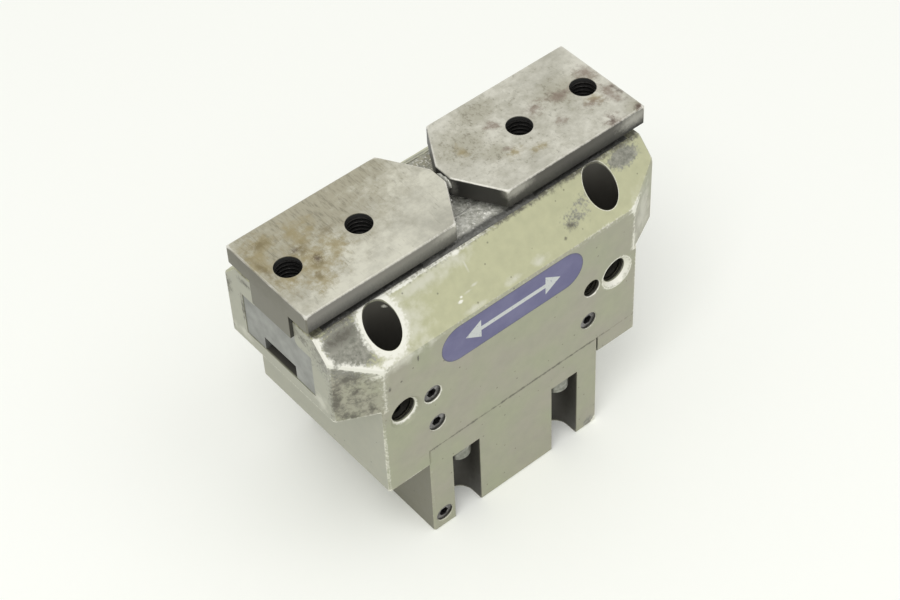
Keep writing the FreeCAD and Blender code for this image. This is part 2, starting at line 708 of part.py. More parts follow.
def make_piston():
    """Turned aluminium piston with grooves for its rings and a hub that the screw head sits in."""
    outer = "(cylinder_bore / 2 - piston_side_gap)"
    seal_top, guide_bottom = f"({piston_top} - ring_land)", f"({piston_bottom} + ring_land)"
    seal_bottom = f"({seal_top} - piston_seal_height)"
    guide_top = f"({guide_bottom} + guide_ring_height)"
    recess = "(wedge_screw_head_diameter / 2 + screw_head_gap)"
    return turned("piston", [
        ("wedge_screw_hole / 2", wedge_screw_seat), (recess, wedge_screw_seat), (recess, hub_bottom),
        ("hub_diameter / 2", hub_bottom), ("hub_diameter / 2", piston_bottom), (outer, piston_bottom),
        (outer, guide_bottom), ("guide_ring_root / 2", guide_bottom), ("guide_ring_root / 2", guide_top),
        (outer, guide_top), (outer, seal_bottom), ("piston_seal_root / 2", seal_bottom),
        ("piston_seal_root / 2", seal_top), (outer, seal_top), (outer, piston_top),
        ("bumper_outer / 2", piston_top), ("bumper_outer / 2", f"{piston_top} - bumper_seat"),
        ("bumper_inner / 2", f"{piston_top} - bumper_seat"), ("bumper_inner / 2", piston_top),
        ("wedge_screw_hole / 2", piston_top)])


def make_piston_rings():
    """Seal, guide ring and end-stop bumper, all carried by the piston."""
    rubbing = "(cylinder_bore - 2 * running_gap)"
    seal_top, guide_bottom = f"({piston_top} - ring_land)", f"({piston_bottom} + ring_land)"
    return [
        ring("piston_seal", "piston_seal_root", rubbing, f"{seal_top} - piston_seal_height", seal_top),
        ring("piston_guide_ring", "guide_ring_root", rubbing, guide_bottom,
             f"{guide_bottom} + guide_ring_height"),
        ring("piston_bumper", "bumper_inner", "bumper_outer", f"{piston_top} - bumper_seat",
             f"{piston_top} + bumper_stand")]


def make_rod_parts():
    """The rod and what guides and seals it in the cylinder head."""
    sliding = "rod_diameter + 2 * running_gap"
    seal_bottom = f"({cylinder_top} + retainer_thickness)"
    seal_top = f"({seal_bottom} + rod_seal_height)"
    return [
        ring("piston_rod", "wedge_screw_hole", "rod_diameter", piston_top, wedge_bottom),
        ring("rod_bush", sliding, "bush_diameter", f"{head_seat} - bush_length", head_seat),
        ring("rod_seal", sliding, "rod_seal_diameter", seal_bottom, seal_top),
        ring("seal_retainer", "rod_diameter + 2 * retainer_gap", "retainer_diameter", cylinder_top,
             seal_bottom)]


def make_round_seal(label, middle_diameter, height):
    """A rubber O-ring lying flat at a height."""
    seal = bind(doc.addObject("Part::Torus", label), Radius1=f"({middle_diameter}) / 2")
    seal.Label = label
    return bind(seal, Radius2="seal_wire / 2", Placement__Base__z=height)


def make_closing_spring():
    """Coil spring from the floor of the block up to the piston, round its hub."""
    body = new_body("closing_spring")
    middle = "(spring_diameter - spring_wire) / 2"
    wire = draw_circle(sketch_on(body, "XZ_Plane"), middle, "block_floor + spring_wire / 2", "spring_wire")
    coil = body.newObject("PartDesign::AdditiveHelix", "Coil")
    coil.Profile = wire
    coil.ReferenceAxis = (wire, ["V_Axis"])
    coil.Mode = "height-turns-angle"
    bind(coil, Height=f"{piston_bottom} - block_floor - spring_wire", Turns="spring_turns")
    doc.recompute()
    return body


def make_label():
    """Thin capsule-shaped label plate, flush with the front face."""
    body = new_body("front_label")
    sketch = draw_label(sketch_on(body, "XZ_Plane", f"{half_depth} - label_thickness"))
    pad(body, sketch, "label_thickness")
    return body


def make_plugs():
    """Set screws that close the ports that aren't in use, and the vent of the block."""
    upper = set_screw("port_plug_upper_left", "-port_upper_spacing / 2", port_upper_level)
    upper.Label = "port_plug_upper_left"
    lower = [set_screw(f"port_plug_lower_{side}", f"{sign}port_lower_spacing / 2", port_lower_level)
             for side, sign in (("right", ""), ("left", "-"))]
    vent = set_screw("vent_plug", "-vent_place", "vent_height")
    vent.Label = "vent_plug"
    return [upper, group("port_plugs_lower", lower), vent]


nodes = [make_housing(), make_cylinder_block(), make_cylinder_head(), make_piston(), make_wedge_hook()]
nodes += make_rod_parts() + make_piston_rings() + make_plugs()
for hand in ("left", "right"):
    nodes += [make_base_jaw(hand), make_jaw_plate(hand)] + make_jaw_fasteners(hand)
nodes.append(make_round_seal("head_seal", "head_insert_diameter - seal_wire",
                             f"{head_seat} - head_seal_drop - (seal_wire + seal_groove_room) / 2"))
block_seal_middle = "cylinder_bore + 2 * block_seal_land + seal_wire + seal_groove_room"
nodes.append(make_round_seal("block_seal", block_seal_middle, f"{joint} - seal_wire / 2"))
block_screws = [socket_screw(f"block_screw_{i}", "block_screw", across, along, "pocket_height",
                             f"({joint} + block_screw_grip)")
                for i, (across, along) in enumerate(block_screw_places)]
nodes.append(group("block_screws", block_screws))
nodes.append(pins("block_dowels", block_dowel_places, "block_dowel_diameter",
                  f"({joint} - block_dowel_depth)", f"({joint} + block_dowel_depth)"))
wedge_screw = socket_screw("wedge_screw", "wedge_screw", "0", "0", wedge_screw_seat,
                           f"({wedge_bottom} + wedge_screw_grip)")
wedge_screw.Label = "wedge_screw"
nodes += [wedge_screw, make_closing_spring(), make_label()]
doc.recompute()

for thing in doc.Objects:
    if {"Invalid", "Error"} & set(thing.State):
        raise ValueError(f"{thing.Label} failed: {thing.State}")
for node in nodes:
    if node.Shape.isNull() or not node.Shape.isValid() or not node.Shape.Solids:
        raise ValueError(f"{node.Label} has no valid solid")

os.makedirs("parts", exist_ok=True)
for node in nodes:
    node.Shape.exportStep(f"parts/{node.Label}.step")
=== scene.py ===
import functools
import math

import bpy
import numpy as np
from mathutils import Matrix


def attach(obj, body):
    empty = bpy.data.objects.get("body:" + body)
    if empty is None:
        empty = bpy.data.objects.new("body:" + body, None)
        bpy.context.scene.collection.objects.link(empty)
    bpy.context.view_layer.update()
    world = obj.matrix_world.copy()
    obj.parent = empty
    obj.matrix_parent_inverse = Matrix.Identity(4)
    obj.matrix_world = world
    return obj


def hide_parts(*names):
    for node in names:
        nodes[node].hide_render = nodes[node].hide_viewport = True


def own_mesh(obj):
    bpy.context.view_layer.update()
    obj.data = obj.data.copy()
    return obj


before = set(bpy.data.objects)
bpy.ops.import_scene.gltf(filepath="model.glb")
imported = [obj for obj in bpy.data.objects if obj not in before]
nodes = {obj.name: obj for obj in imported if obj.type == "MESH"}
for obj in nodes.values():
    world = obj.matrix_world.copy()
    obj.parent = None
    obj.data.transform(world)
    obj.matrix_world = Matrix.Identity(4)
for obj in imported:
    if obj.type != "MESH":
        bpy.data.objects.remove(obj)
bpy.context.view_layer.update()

# Cylinder block: the foot of the gripper, milled from aluminium bar and hard anodised to a pale olive.
# It is let into the underside of the housing, and U-shaped pockets in its long sides take the screws.
MM = 0.001
FRONTWARD = (0, -1, 0)
ACROSS_FRONT = (1, 0, 1)
SMOOTH = {"interpolation_type": "SMOOTHSTEP"}
BLOCK_HALF_LENGTH = 34.15
BLOCK_HEIGHTS = (-1, 41)
HALF_DEPTH = 31.5
SHOULDER_FOOT = 87
VENT_HOLE = (-29.7, -HALF_DEPTH, 5.8)
PORT_RADIUS = 3.1


def linear(colour):
    """An sRGB hex colour as linear red, green and blue, with full alpha."""
    channels = np.array([int(colour[i:i + 2], 16) for i in (1, 3, 5)]) / 255
    dark = channels / 12.92
    light = ((channels + 0.055) / 1.055) ** 2.4
    return (*np.where(channels < 0.04045, dark, light).tolist(), 1.0)


def add_node(tree, kind, inputs=None, output=None, **settings):
    """Adds a shader node with its settings, fills its inputs with values or links, and returns one output.

    Inputs go by name, or by number where names repeat: a Mix of colours takes its share at 0 and the colours
    at 6 and 7.
    """
    node = tree.nodes.new("ShaderNode" + kind)
    for name, value in settings.items():
        setattr(node, name, value)
    for key, value in (inputs or {}).items():
        if isinstance(value, bpy.types.NodeSocket):
            tree.links.new(value, node.inputs[key])
        else:
            node.inputs[key].default_value = value
    if output:
        return node.outputs[output]
    return next((socket for socket in node.outputs if socket.enabled), None)


def empty_tree(owner):
    """Empties the node tree of a material or a world, and gives the function that adds a node to it."""
    owner.use_nodes = True
    owner.node_tree.nodes.clear()
    return functools.partial(add_node, owner.node_tree)


def new_material(name):
    """An empty material, the function that adds a node to it, and the place of a point in millimetres."""
    material = bpy.data.materials.new(name)
    add = empty_tree(material)
    metres = add("TexCoord", output="Object")
    place = add("VectorMath", {0: metres, 1: (1 / MM, 1 / MM, 1 / MM)}, operation="MULTIPLY")
    return material, add, place


def finish_material(add, inputs):
    """The surface shader with these inputs, joined to the material's output."""
    shader = add("BsdfPrincipled", inputs)
    add("OutputMaterial", {"Surface": shader})


def give(material, *names):
    """Gives a material to the CAD nodes of these names."""
    for name in names:
        for material_slot in nodes[name].material_slots:
            material_slot.material = material


def nearness(add, place, spots):
    """1 at the middle of the nearest spot, 0 at its rim, less outside. A spot is a centre and half sizes."""
    nearest = 10.0
    for centre, size in spots:
        offset = add("VectorMath", {0: place, 1: centre}, operation="SUBTRACT")
        share = add("VectorMath", {0: offset, 1: size}, operation="DIVIDE")
        distance = add("VectorMath", {0: share}, "Value", operation="LENGTH")
        nearest = add("Math", {0: nearest, 1: distance}, operation="MINIMUM")
    return add("Math", {0: 1.0, 1: nearest}, operation="SUBTRACT")


def rim_nearness(add, place, rims):
    """1 at the mouth of a hole, falling to 0 a width outside it, and 0 within the hole.

    A rim is the hole's centre, the axes that lie across the hole, its radius, that width, the way that its
    mouth faces, and how far that way it starts.
    """
    most = 0.0
    for centre, across, radius, width, mouth_way, start in rims:
        offset = add("VectorMath", {0: place, 1: centre}, operation="SUBTRACT")
        flat = add("VectorMath", {0: offset, 1: across}, operation="MULTIPLY")
        distance = add("VectorMath", {0: flat}, "Value", operation="LENGTH")
        share = add("MapRange", {"Value": distance, "From Min": radius, "From Max": radius + width,
                                 "To Min": 1.0, "To Max": 0.0})
        # The hole's own wall and a hair beyond it are left out.
        outside = add("Math", {0: distance, 1: radius + 0.04}, operation="GREATER_THAN")
        reached = add("VectorMath", {0: place, 1: mouth_way}, "Value", operation="DOT_PRODUCT")
        reached = add("Math", {0: reached, 1: start}, operation="GREATER_THAN")
        outside = add("Math", {0: outside, 1: reached}, operation="MULTIPLY")
        share = add("Math", {0: share, 1: outside}, operation="MULTIPLY")
        most = add("Math", {0: most, 1: share}, operation="MAXIMUM")
    return most


def face_closeness(add, place, height, planes, reach):
    """About 1 on one outer face, more near an edge of two faces, 0 well inside the piece.

    It adds up exp(-distance / reach) over the faces, worked out on |x|, |y| and z because the piece is
    alike on all sides. A face is its normal, its distance from the origin, the heights it runs between and
    the least |x| that it starts at.
    """
    folded = add("VectorMath", {0: place}, operation="ABSOLUTE")
    length = add("SeparateXYZ", {"Vector": folded}, "X")
    total = 0.0
    for normal, offset, (low, high), start in planes:
        along = add("VectorMath", {0: folded, 1: normal}, "Value", operation="DOT_PRODUCT")
        past = add("Math", {0: along, 1: offset}, operation="SUBTRACT")
        aside = add("Math", {0: past}, operation="ABSOLUTE")
        close = add("Math", {0: math.exp(-1 / reach), 1: aside}, operation="POWER")
        middle, half = (low + high) / 2, (high - low) / 2
        within = add("Math", {0: height, 1: middle, 2: half}, operation="COMPARE")
        if start:
            beyond = add("Math", {0: length, 1: start}, operation="GREATER_THAN")
            within = add("Math", {0: within, 1: beyond}, operation="MULTIPLY")
        total = add("Math", {0: close, 1: within, 2: total}, operation="MULTIPLY_ADD")
    return total


def anodised_aluminium(name, ends, planes, bare, rims, sunk, hazed_and_lit, scuffed, dirty_and_shaded, chipped, battered):
    """Hard anodised aluminium: a satin olive film on metal, mottled by handling.

    It is worn through to bright metal on the edges, round the rims and in bare places, pale in hazy places,
    some of which are painted light, rubbed grey in scuffed ones, and dark in soiled places, from soiling and
    from painted shade, and dark inside the bores, from soiling and painted shade, except where they are sunk.
    Edges are worn more at the chipped places and widest at the battered ones. Faces turned up above the
    shoulder's foot are paler and yellower, a painted light. ends is the film's colour on the ends of the
    piece, which is painted light where it is paler than the rest and painted shade where it is darker.
    """
    olive, warm, painted_top_light = linear("#A3A58D"), linear("#A4A191"), linear("#B7B795")
    grime_and_shade, bright, inside = linear("#58554B"), linear("#E6E5DA"), linear("#4A4842")
    haze_and_light, scuff_dark, scuff_light = linear("#D3D2C5"), linear("#6A6A62"), linear("#A09F95")
    material, add, place = new_material(name)
    height = add("SeparateXYZ", {"Vector": place}, "Z")
    closeness = face_closeness(add, place, height, planes, reach=0.55)
    skin = add("MapRange", {"Value": closeness, "From Min": 0.25, "From Max": 0.75}, **SMOOTH)
    countersink = add("Math", {0: nearness(add, place, sunk), 1: 0.0}, operation="GREATER_THAN")
    skin = add("Math", {0: skin, 1: countersink}, operation="MAXIMUM")
    # Mottling is 14 mm wide, blotches 3 mm, and the crumbled rims of worn spots 0.9 mm.
    mottle = add("TexNoise", {"Vector": place, "Scale": 1 / 14, "Detail": 3.0}, "Fac")
    blotch = add("TexNoise", {"Vector": place, "Scale": 1 / 3, "Detail": 6.0}, "Fac")
    crumble = add("TexNoise", {"Vector": place, "Scale": 1 / 0.9, "Detail": 3.0, "Roughness": 0.55}, "Fac")
    mottled = add("MapRange", {"Value": mottle, "From Min": 0.35, "From Max": 0.65})
    film = add("Mix", {0: mottled, 6: olive, 7: warm}, data_type="RGBA")
    # Faces turned up above the shoulder's foot get a paler, yellower film, a painted light for the light
    # falling on them.
    facing = add("TexCoord", output="Normal")
    upward = add("SeparateXYZ", {"Vector": facing}, "Z")
    painted_light_share = add("MapRange", {"Value": upward, "From Min": 0.3, "From Max": 0.7}, **SMOOTH)
    shoulder = add("Math", {0: height, 1: SHOULDER_FOOT}, operation="GREATER_THAN")
    painted_light_share = add("Math", {0: painted_light_share, 1: shoulder}, operation="MULTIPLY")
    film = add("Mix", {0: painted_light_share, 6: film, 7: painted_top_light}, data_type="RGBA")
    # The end faces get a film colour of their own: on the housing it is paler, a painted light, and on the
    # block darker, a painted shade under the housing's overhang.
    folded_facing = add("VectorMath", {0: facing}, operation="ABSOLUTE")
    endward = add("SeparateXYZ", {"Vector": folded_facing}, "X")
    endward = add("Math", {0: endward, 1: 0.8}, operation="GREATER_THAN")
    film = add("Mix", {0: endward, 6: film, 7: linear(ends)}, data_type="RGBA")
    shade = add("MapRange",
                {"Value": blotch, "From Min": 0.3, "From Max": 0.7, "To Min": 0.93, "To Max": 1.05})
    film = add("VectorMath", {0: film, "Scale": shade}, operation="SCALE")
    # Dark pits, each about half a millimetre across, are scattered some 4 mm apart.
    pit = add("TexVoronoi", {"Vector": place, "Scale": 1 / 4.2}, "Distance")
    pitted = add("MapRange",
                 {"Value": pit, "From Min": 0.05, "From Max": 0.09, "To Min": 0.55, "To Max": 0.0})
    # Dirt lies in ragged flakes 1.6 mm wide.
    flake = add("TexNoise", {"Vector": place, "Scale": 1 / 1.6, "Detail": 7.0, "Roughness": 0.68}, "Fac")
    cloudy = add("Math", {0: blotch, 1: 2.0, 2: -1.0}, operation="MULTIPLY_ADD")
    cloudy = add("Math", {0: nearness(add, place, hazed_and_lit), 1: cloudy}, operation="ADD")
    cloudy = add("MapRange", {"Value": cloudy, "To Max": 0.65}, **SMOOTH)
    film = add("Mix", {0: cloudy, 6: film, 7: haze_and_light}, data_type="RGBA")
    rubbed = add("Math", {0: crumble, 1: 1.2, 2: -0.6}, operation="MULTIPLY_ADD")
    rubbed = add("Math", {0: nearness(add, place, scuffed), 1: rubbed}, operation="ADD")
    rubbed = add("MapRange", {"Value": rubbed, "From Min": 0.05, "From Max": 0.45, "To Max": 0.92}, **SMOOTH)
    scuff = add("MapRange", {"Value": flake, "From Min": 0.35, "From Max": 0.68})
    scuff = add("Mix", {0: scuff, 6: scuff_dark, 7: scuff_light}, data_type="RGBA")
    film = add("Mix", {0: rubbed, 6: film, 7: scuff}, data_type="RGBA")
    # The dirty places are grime, and some of them are painted shade.
    darkening = add("Math", {0: flake, 1: 2.4, 2: -1.5}, operation="MULTIPLY_ADD")
    darkening = add("Math", {0: darkening, 1: nearness(add, place, dirty_and_shaded)}, operation="ADD")
    darkening = add("MapRange", {"Value": darkening, "From Min": -0.15, "From Max": 0.75, "To Max": 0.88}, **SMOOTH)
    darkening = add("Math", {0: darkening, 1: pitted}, operation="MAXIMUM")
    film = add("Mix", {0: darkening, 6: film, 7: grime_and_shade}, data_type="RGBA")
    # Edges wear where two faces come close, more so near the chipped places, and widest at the battered ones.
    # Above the shoulder's foot the upright faces are spared most of that, as the shoulder takes the knocks.
    edge = add("Math", {0: closeness, 1: 1.0}, operation="SUBTRACT")
    wide = add("Math", {0: face_closeness(add, place, height, planes, reach=1.1), 1: 1.0},
               operation="SUBTRACT")
    spared = add("MapRange",
                 {"Value": upward, "From Min": 0.05, "From Max": 0.25, "To Min": 0.35, "To Max": 1.0})
    low_down = add("Math", {0: height, 1: SHOULDER_FOOT}, operation="LESS_THAN")
    spared = add("Math", {0: spared, 1: low_down}, operation="MAXIMUM")
    wide = add("Math", {0: wide, 1: spared}, operation="MULTIPLY")
    beaten = add("MapRange", {"Value": nearness(add, place, battered), "From Max": 0.4})
    wide = add("Math", {0: wide, 1: beaten}, operation="MULTIPLY")
    harder = add("MapRange",
                 {"Value": nearness(add, place, chipped), "From Max": 0.6, "To Min": 0.44, "To Max": 1.1})
    edge = add("Math", {0: edge, 1: harder}, operation="MULTIPLY")
    edge = add("Math", {0: edge, 1: wide}, operation="MAXIMUM")
    spot = nearness(add, place, bare)
    worn = add("Math", {0: spot, 1: rim_nearness(add, place, rims)}, operation="MAXIMUM")
    worn = add("Math", {0: worn, 1: 0.85}, operation="MULTIPLY")
    worn = add("Math", {0: worn, 1: edge}, operation="MAXIMUM")
    worn = add("Math", {0: crumble, 1: 0.9, 2: worn}, operation="MULTIPLY_ADD")
    worn = add("MapRange", {"Value": worn, "From Min": 0.64, "From Max": 1.1}, **SMOOTH)
    colour = add("Mix", {0: worn, 6: film, 7: bright}, data_type="RGBA")
    # Where the skin ends, inside the bores and the pockets, the film is dark: grime together with painted
    # shade where little light reaches.
    hidden = add("Math", {0: skin, 1: worn}, operation="MAXIMUM")
    colour = add("Mix", {0: hidden, 6: inside, 7: colour}, data_type="RGBA")
    metal = add("MapRange", {"Value": worn, "To Min": 0.25, "To Max": 0.75})
    rough = add("MapRange",
                {"Value": blotch, "From Min": 0.3, "From Max": 0.7, "To Min": 0.42, "To Max": 0.56})
    # The fine grain is the etched surface under the film, drawn at 0.35 mm so that it shows.
    grain = add("TexNoise", {"Vector": place, "Scale": 1 / 0.35, "Detail": 3.0}, "Fac")
    relief = add("Math", {0: worn, 1: -0.8, 2: grain}, operation="MULTIPLY_ADD")
    relief = add("Math", {0: pitted, 1: -1.5, 2: relief}, operation="MULTIPLY_ADD")
    bump = add("Bump", {"Height": relief, "Strength": 0.35, "Distance": 0.03 * MM})
    finish_material(add, {"Base Color": colour, "Metallic": metal, "Roughness": rough, "Normal": bump})
    return material


block_planes = [((1, 0, 0), BLOCK_HALF_LENGTH, BLOCK_HEIGHTS, 0), ((0, 1, 0), HALF_DEPTH, BLOCK_HEIGHTS, 0),
                ((0, 0, 1), 0, BLOCK_HEIGHTS, 0)]
# Each place of wear is a centre and half sizes in millimetres. Half sizes of 300 make it a level band.
# The block's ends get a darker film, a painted shade where the housing overhangs them.
block_film = anodised_aluminium(
    "anodised_block", "#7C7A6C", block_planes,
    bare=[((33.5, -31.5, 0.5), (2.2, 3, 2.5))],
    rims=[(VENT_HOLE, ACROSS_FRONT, PORT_RADIUS, 0.2, FRONTWARD, 0)],
    sunk=[(VENT_HOLE, (4, 0.8, 4))],
    hazed_and_lit=[],
    scuffed=[((31, -31.5, 2), (3, 2, 2.5))],
    dirty_and_shaded=[((0, -31.5, 40.5), (300, 300, 0.8))],
    chipped=[((30, -31.5, 0), (12, 6, 8))],
    battered=[((34, -31.5, 0), (3, 3, 4))])
give(block_film, "cylinder_block")

# Closing spring: coiled from round spring steel wire, its end turns closed and ground flat.
# It stands in the well of the block and pushes the piston up, which keeps the jaws closed.
SPRING_LOW, SPRING_HIGH = 5.0, 41.0
SPRING_WIRE = 3.5
SPRING_RADIUS = 15.25
SPRING_TURNS = 5.5


def new_piece(name, points, faces, body, material):
    """A smooth mesh piece from points in millimetres and rows of corners, riding on a body."""
    mesh = bpy.data.meshes.new(name)
    mesh.from_pydata((np.asarray(points).reshape(-1, 3) * MM).tolist(), [], faces)
    mesh.polygons.foreach_set("use_smooth", np.ones(len(mesh.polygons), bool))
    mesh.update()
    piece = bpy.data.objects.new(name, mesh)
    bpy.context.collection.objects.link(piece)
    piece.data.materials.append(material)
    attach(piece, body)
    return piece


def tube_faces(rows, columns):
    """Faces of a closed tube: each row of points is a ring, and the first and last rings are capped."""
    row, column = np.meshgrid(np.arange(rows - 1), np.arange(columns), indexing="ij")
    beside = (column + 1) % columns
    quads = np.stack([row * columns + column, (row + 1) * columns + column,
                      (row + 1) * columns + beside, row * columns + beside], axis=-1)
    first_ring = np.arange(columns)
    last_ring = first_ring[::-1] + (rows - 1) * columns
    return [*quads.reshape(-1, 4).tolist(), first_ring.tolist(), last_ring.tolist()]


def machined_metal(name, light, dark, roughness, stretch, metallic=1.0):
    """Cut or ground metal with fine tool marks. The marks are noise stretched along the cut, so stretch
    gives the size of one mark in millimetres along each axis."""
    material, add, place = new_material(name)
    marks = add("VectorMath", {0: place, 1: stretch}, operation="DIVIDE")
    mark = add("TexNoise", {"Vector": marks, "Scale": 1.0, "Detail": 4.0}, "Fac")
    blotch = add("TexNoise", {"Vector": place, "Scale": 1 / 5, "Detail": 5.0}, "Fac")
    tone = add("Math", {0: mark, 1: blotch}, operation="ADD")
    tone = add("MapRange", {"Value": tone, "From Min": 0.75, "From Max": 1.25})
    colour = add("Mix", {0: tone, 6: linear(dark), 7: linear(light)}, data_type="RGBA")
    rough = add("MapRange", {"Value": tone, "To Min": roughness + 0.1, "To Max": roughness - 0.06})
    bump = add("Bump", {"Height": mark, "Strength": 0.3, "Distance": 0.03 * MM})
    finish_material(add, {"Base Color": colour, "Metallic": metallic, "Roughness": rough, "Normal": bump})
    return material


spring_steel = machined_metal("oiled_spring_steel", "#8B8D8E", "#4E4F50", 0.36, (2, 2, 0.5))
spring_rows, spring_columns = 420, 14
along, around = np.meshgrid(np.linspace(0, 1, spring_rows),
                            np.arange(spring_columns) * 2 * math.pi / spring_columns, indexing="ij")
# The turns rise evenly between end turns that lie almost flat, three quarters of a turn each.
closed = 0.75 / SPRING_TURNS
rise = np.clip((along - closed) / (1 - 2 * closed), 0, 1)
rise = 0.93 * rise + 0.07 * along
spring_turn = 2 * math.pi * SPRING_TURNS * along
reach_out = SPRING_RADIUS + SPRING_WIRE / 2 * np.cos(around)
# The ends are ground, so the wire's middle starts less than half its thickness above the seat.
ground_wire = 0.35 * SPRING_WIRE
spring_low_line = SPRING_LOW + ground_wire
spring_high_line = SPRING_HIGH - ground_wire
level = spring_low_line + (spring_high_line - spring_low_line) * rise + SPRING_WIRE / 2 * np.sin(around)
spring_points = np.stack([reach_out * np.cos(spring_turn), reach_out * np.sin(spring_turn),
                          np.clip(level, SPRING_LOW, SPRING_HIGH)], axis=-1)
spring = new_piece("coiled_spring", spring_points, tube_faces(spring_rows, spring_columns), "body",
                   spring_steel)
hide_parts("closing_spring")
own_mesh(spring)

# Piston, rod and their rings: turned from aluminium and hardened steel, and worked by air from above.
# A rubber seal, a plastic guide ring and a bumper sit in the piston's grooves, and one screw holds the stack.
turned_aluminium = machined_metal("turned_aluminium", "#C9CACB", "#9FA1A2", 0.33, (8, 8, 0.3))
hard_chrome = machined_metal("ground_piston_rod", "#B4B7BA", "#8C8F93", 0.2, (6, 6, 0.25))
give(turned_aluminium, "piston", "cylinder_head")
give(hard_chrome, "piston_rod")


def rubber(name, colour, dust):
    """Moulded rubber or filled plastic: dull, with a breath of grease and dust in 2 mm blotches."""
    material, add, place = new_material(name)
    blotch = add("TexNoise", {"Vector": place, "Scale": 1 / 2, "Detail": 6.0}, "Fac")
    dusty = add("MapRange", {"Value": blotch, "From Min": 0.45, "From Max": 0.75})
    tone = add("Mix", {0: dusty, 6: linear(colour), 7: linear(dust)}, data_type="RGBA")
    rough = add("MapRange", {"Value": blotch, "To Min": 0.35, "To Max": 0.75})
    grain = add("TexNoise", {"Vector": place, "Scale": 1 / 0.3, "Detail": 2.0}, "Fac")
    bump = add("Bump", {"Height": grain, "Strength": 0.2, "Distance": 0.02 * MM})
    finish_material(add, {"Base Color": tone, "Roughness": rough, "Normal": bump})
    return material


nitrile = rubber("nitrile_rubber", "#1C1C1E", "#34332F")
filled_plastic = rubber("bronze_filled_plastic", "#6E5A3C", "#8A754F")
give(nitrile, "piston_seal", "piston_bumper", "rod_seal", "head_seal", "block_seal")
give(filled_plastic, "piston_guide_ring")

# Bush and retaining ring: the rod runs in a bronze bush pressed into the cylinder head.
# The steel ring under it keeps the rod's seal in its seat. The wedge's screw and the dowels, which hold the
# pieces in line, are of the same bright steel.
bush_bronze = machined_metal("bearing_bronze", "#C09A57", "#8B6A38", 0.32, (6, 6, 0.4))
bright_steel = machined_metal("bright_steel", "#B3B4B2", "#85867F", 0.34, (1.2, 1.2, 0.4))
give(bush_bronze, "rod_bush")
give(bright_steel, "seal_retainer", "wedge_screw", "block_dowels", "jaw_dowel_left", "jaw_dowel_right")

# Housing: milled from aluminium, with a longer head on a lower body, sloping shoulders and a T-slot.
# Its olive film is rubbed through on the edges, round the screw holes and where tools have knocked it.
UPWARD = (0, 0, 1)
ACROSS_TOP = (1, 1, 0)
HEAD_END = 62.2
HEAD_UNDERSIDE = 70.5
HEAD_HEIGHTS = (70.3, 102)
HOUSING_HEIGHTS = (33, 102)
HOUSING_TOP = 101.3
HOUSING_UNDERSIDE = 33.6
LOWER_BODY_END = 50
LOWER_BODY_HEIGHTS = (33, 70.7)
FACET = ((0.455, 0.891, 0), 50.13)
SHOULDER = ((0, 0.723, 0.691), 83.4)
SHOULDER_MIDDLE = 95
BOLT_ALONG, BOLT_ACROSS = 41.65, 23.3
BOLT_SINK_RADIUS = 5.5
BOLT_RIM_START = 88.2
SIDE_HOLE_LEVEL = 64.9
SIDE_HOLE_RADIUS, SIDE_SINK_RADIUS = 4.35, 5.8
UPPER_PORT, LOWER_PORT = 31.5, 30.3
LOWER_PORT_LEVEL = 51
# The facets and the shoulders slant, and each is a normal and a distance from the origin.
housing_planes = [((1, 0, 0), HEAD_END, HEAD_HEIGHTS, 0), ((0, 1, 0), HALF_DEPTH, HOUSING_HEIGHTS, 0),
                  (*FACET, HEAD_HEIGHTS, 0), (*SHOULDER, HEAD_HEIGHTS, 0),
                  ((0, 0, 1), HOUSING_TOP, HEAD_HEIGHTS, 0),
                  ((1, 0, 0), LOWER_BODY_END, LOWER_BODY_HEIGHTS, 0),
                  ((0, 0, 1), HOUSING_UNDERSIDE, (33, 70.3), 0),
                  ((0, 0, 1), HEAD_UNDERSIDE, (60, 75), LOWER_BODY_END)]
# Each hole's wear has a width of its own, and the front right side hole is worn round its countersink too.
bolt_rims = [((end * BOLT_ALONG, facing * BOLT_ACROSS, SHOULDER_MIDDLE), ACROSS_TOP, BOLT_SINK_RADIUS, width,
              UPWARD, BOLT_RIM_START)
             for end, facing, width in ((-1, -1, 3.6), (1, -1, 0.3), (-1, 1, 0.8), (1, 1, 1.6))]
side_rims = [((end * BOLT_ALONG, facing * HALF_DEPTH, SIDE_HOLE_LEVEL), ACROSS_FRONT, radius, width,
              (0, facing, 0), 0)
             for end, facing, radius, width in (
                 (-1, -1, SIDE_HOLE_RADIUS, 1.0), (1, -1, SIDE_HOLE_RADIUS, 2.9),
                 (1, -1, SIDE_SINK_RADIUS, 0.7), (1, 1, SIDE_HOLE_RADIUS, 0.9))]
port_rims = [((x, -HALF_DEPTH, level), ACROSS_FRONT, PORT_RADIUS, width, FRONTWARD, 0)
             for x, level, width in (
                 (UPPER_PORT, SIDE_HOLE_LEVEL, 0.45), (-UPPER_PORT, SIDE_HOLE_LEVEL, 0.6),
                 (LOWER_PORT, LOWER_PORT_LEVEL, 0.2), (-LOWER_PORT, LOWER_PORT_LEVEL, 0.25))]
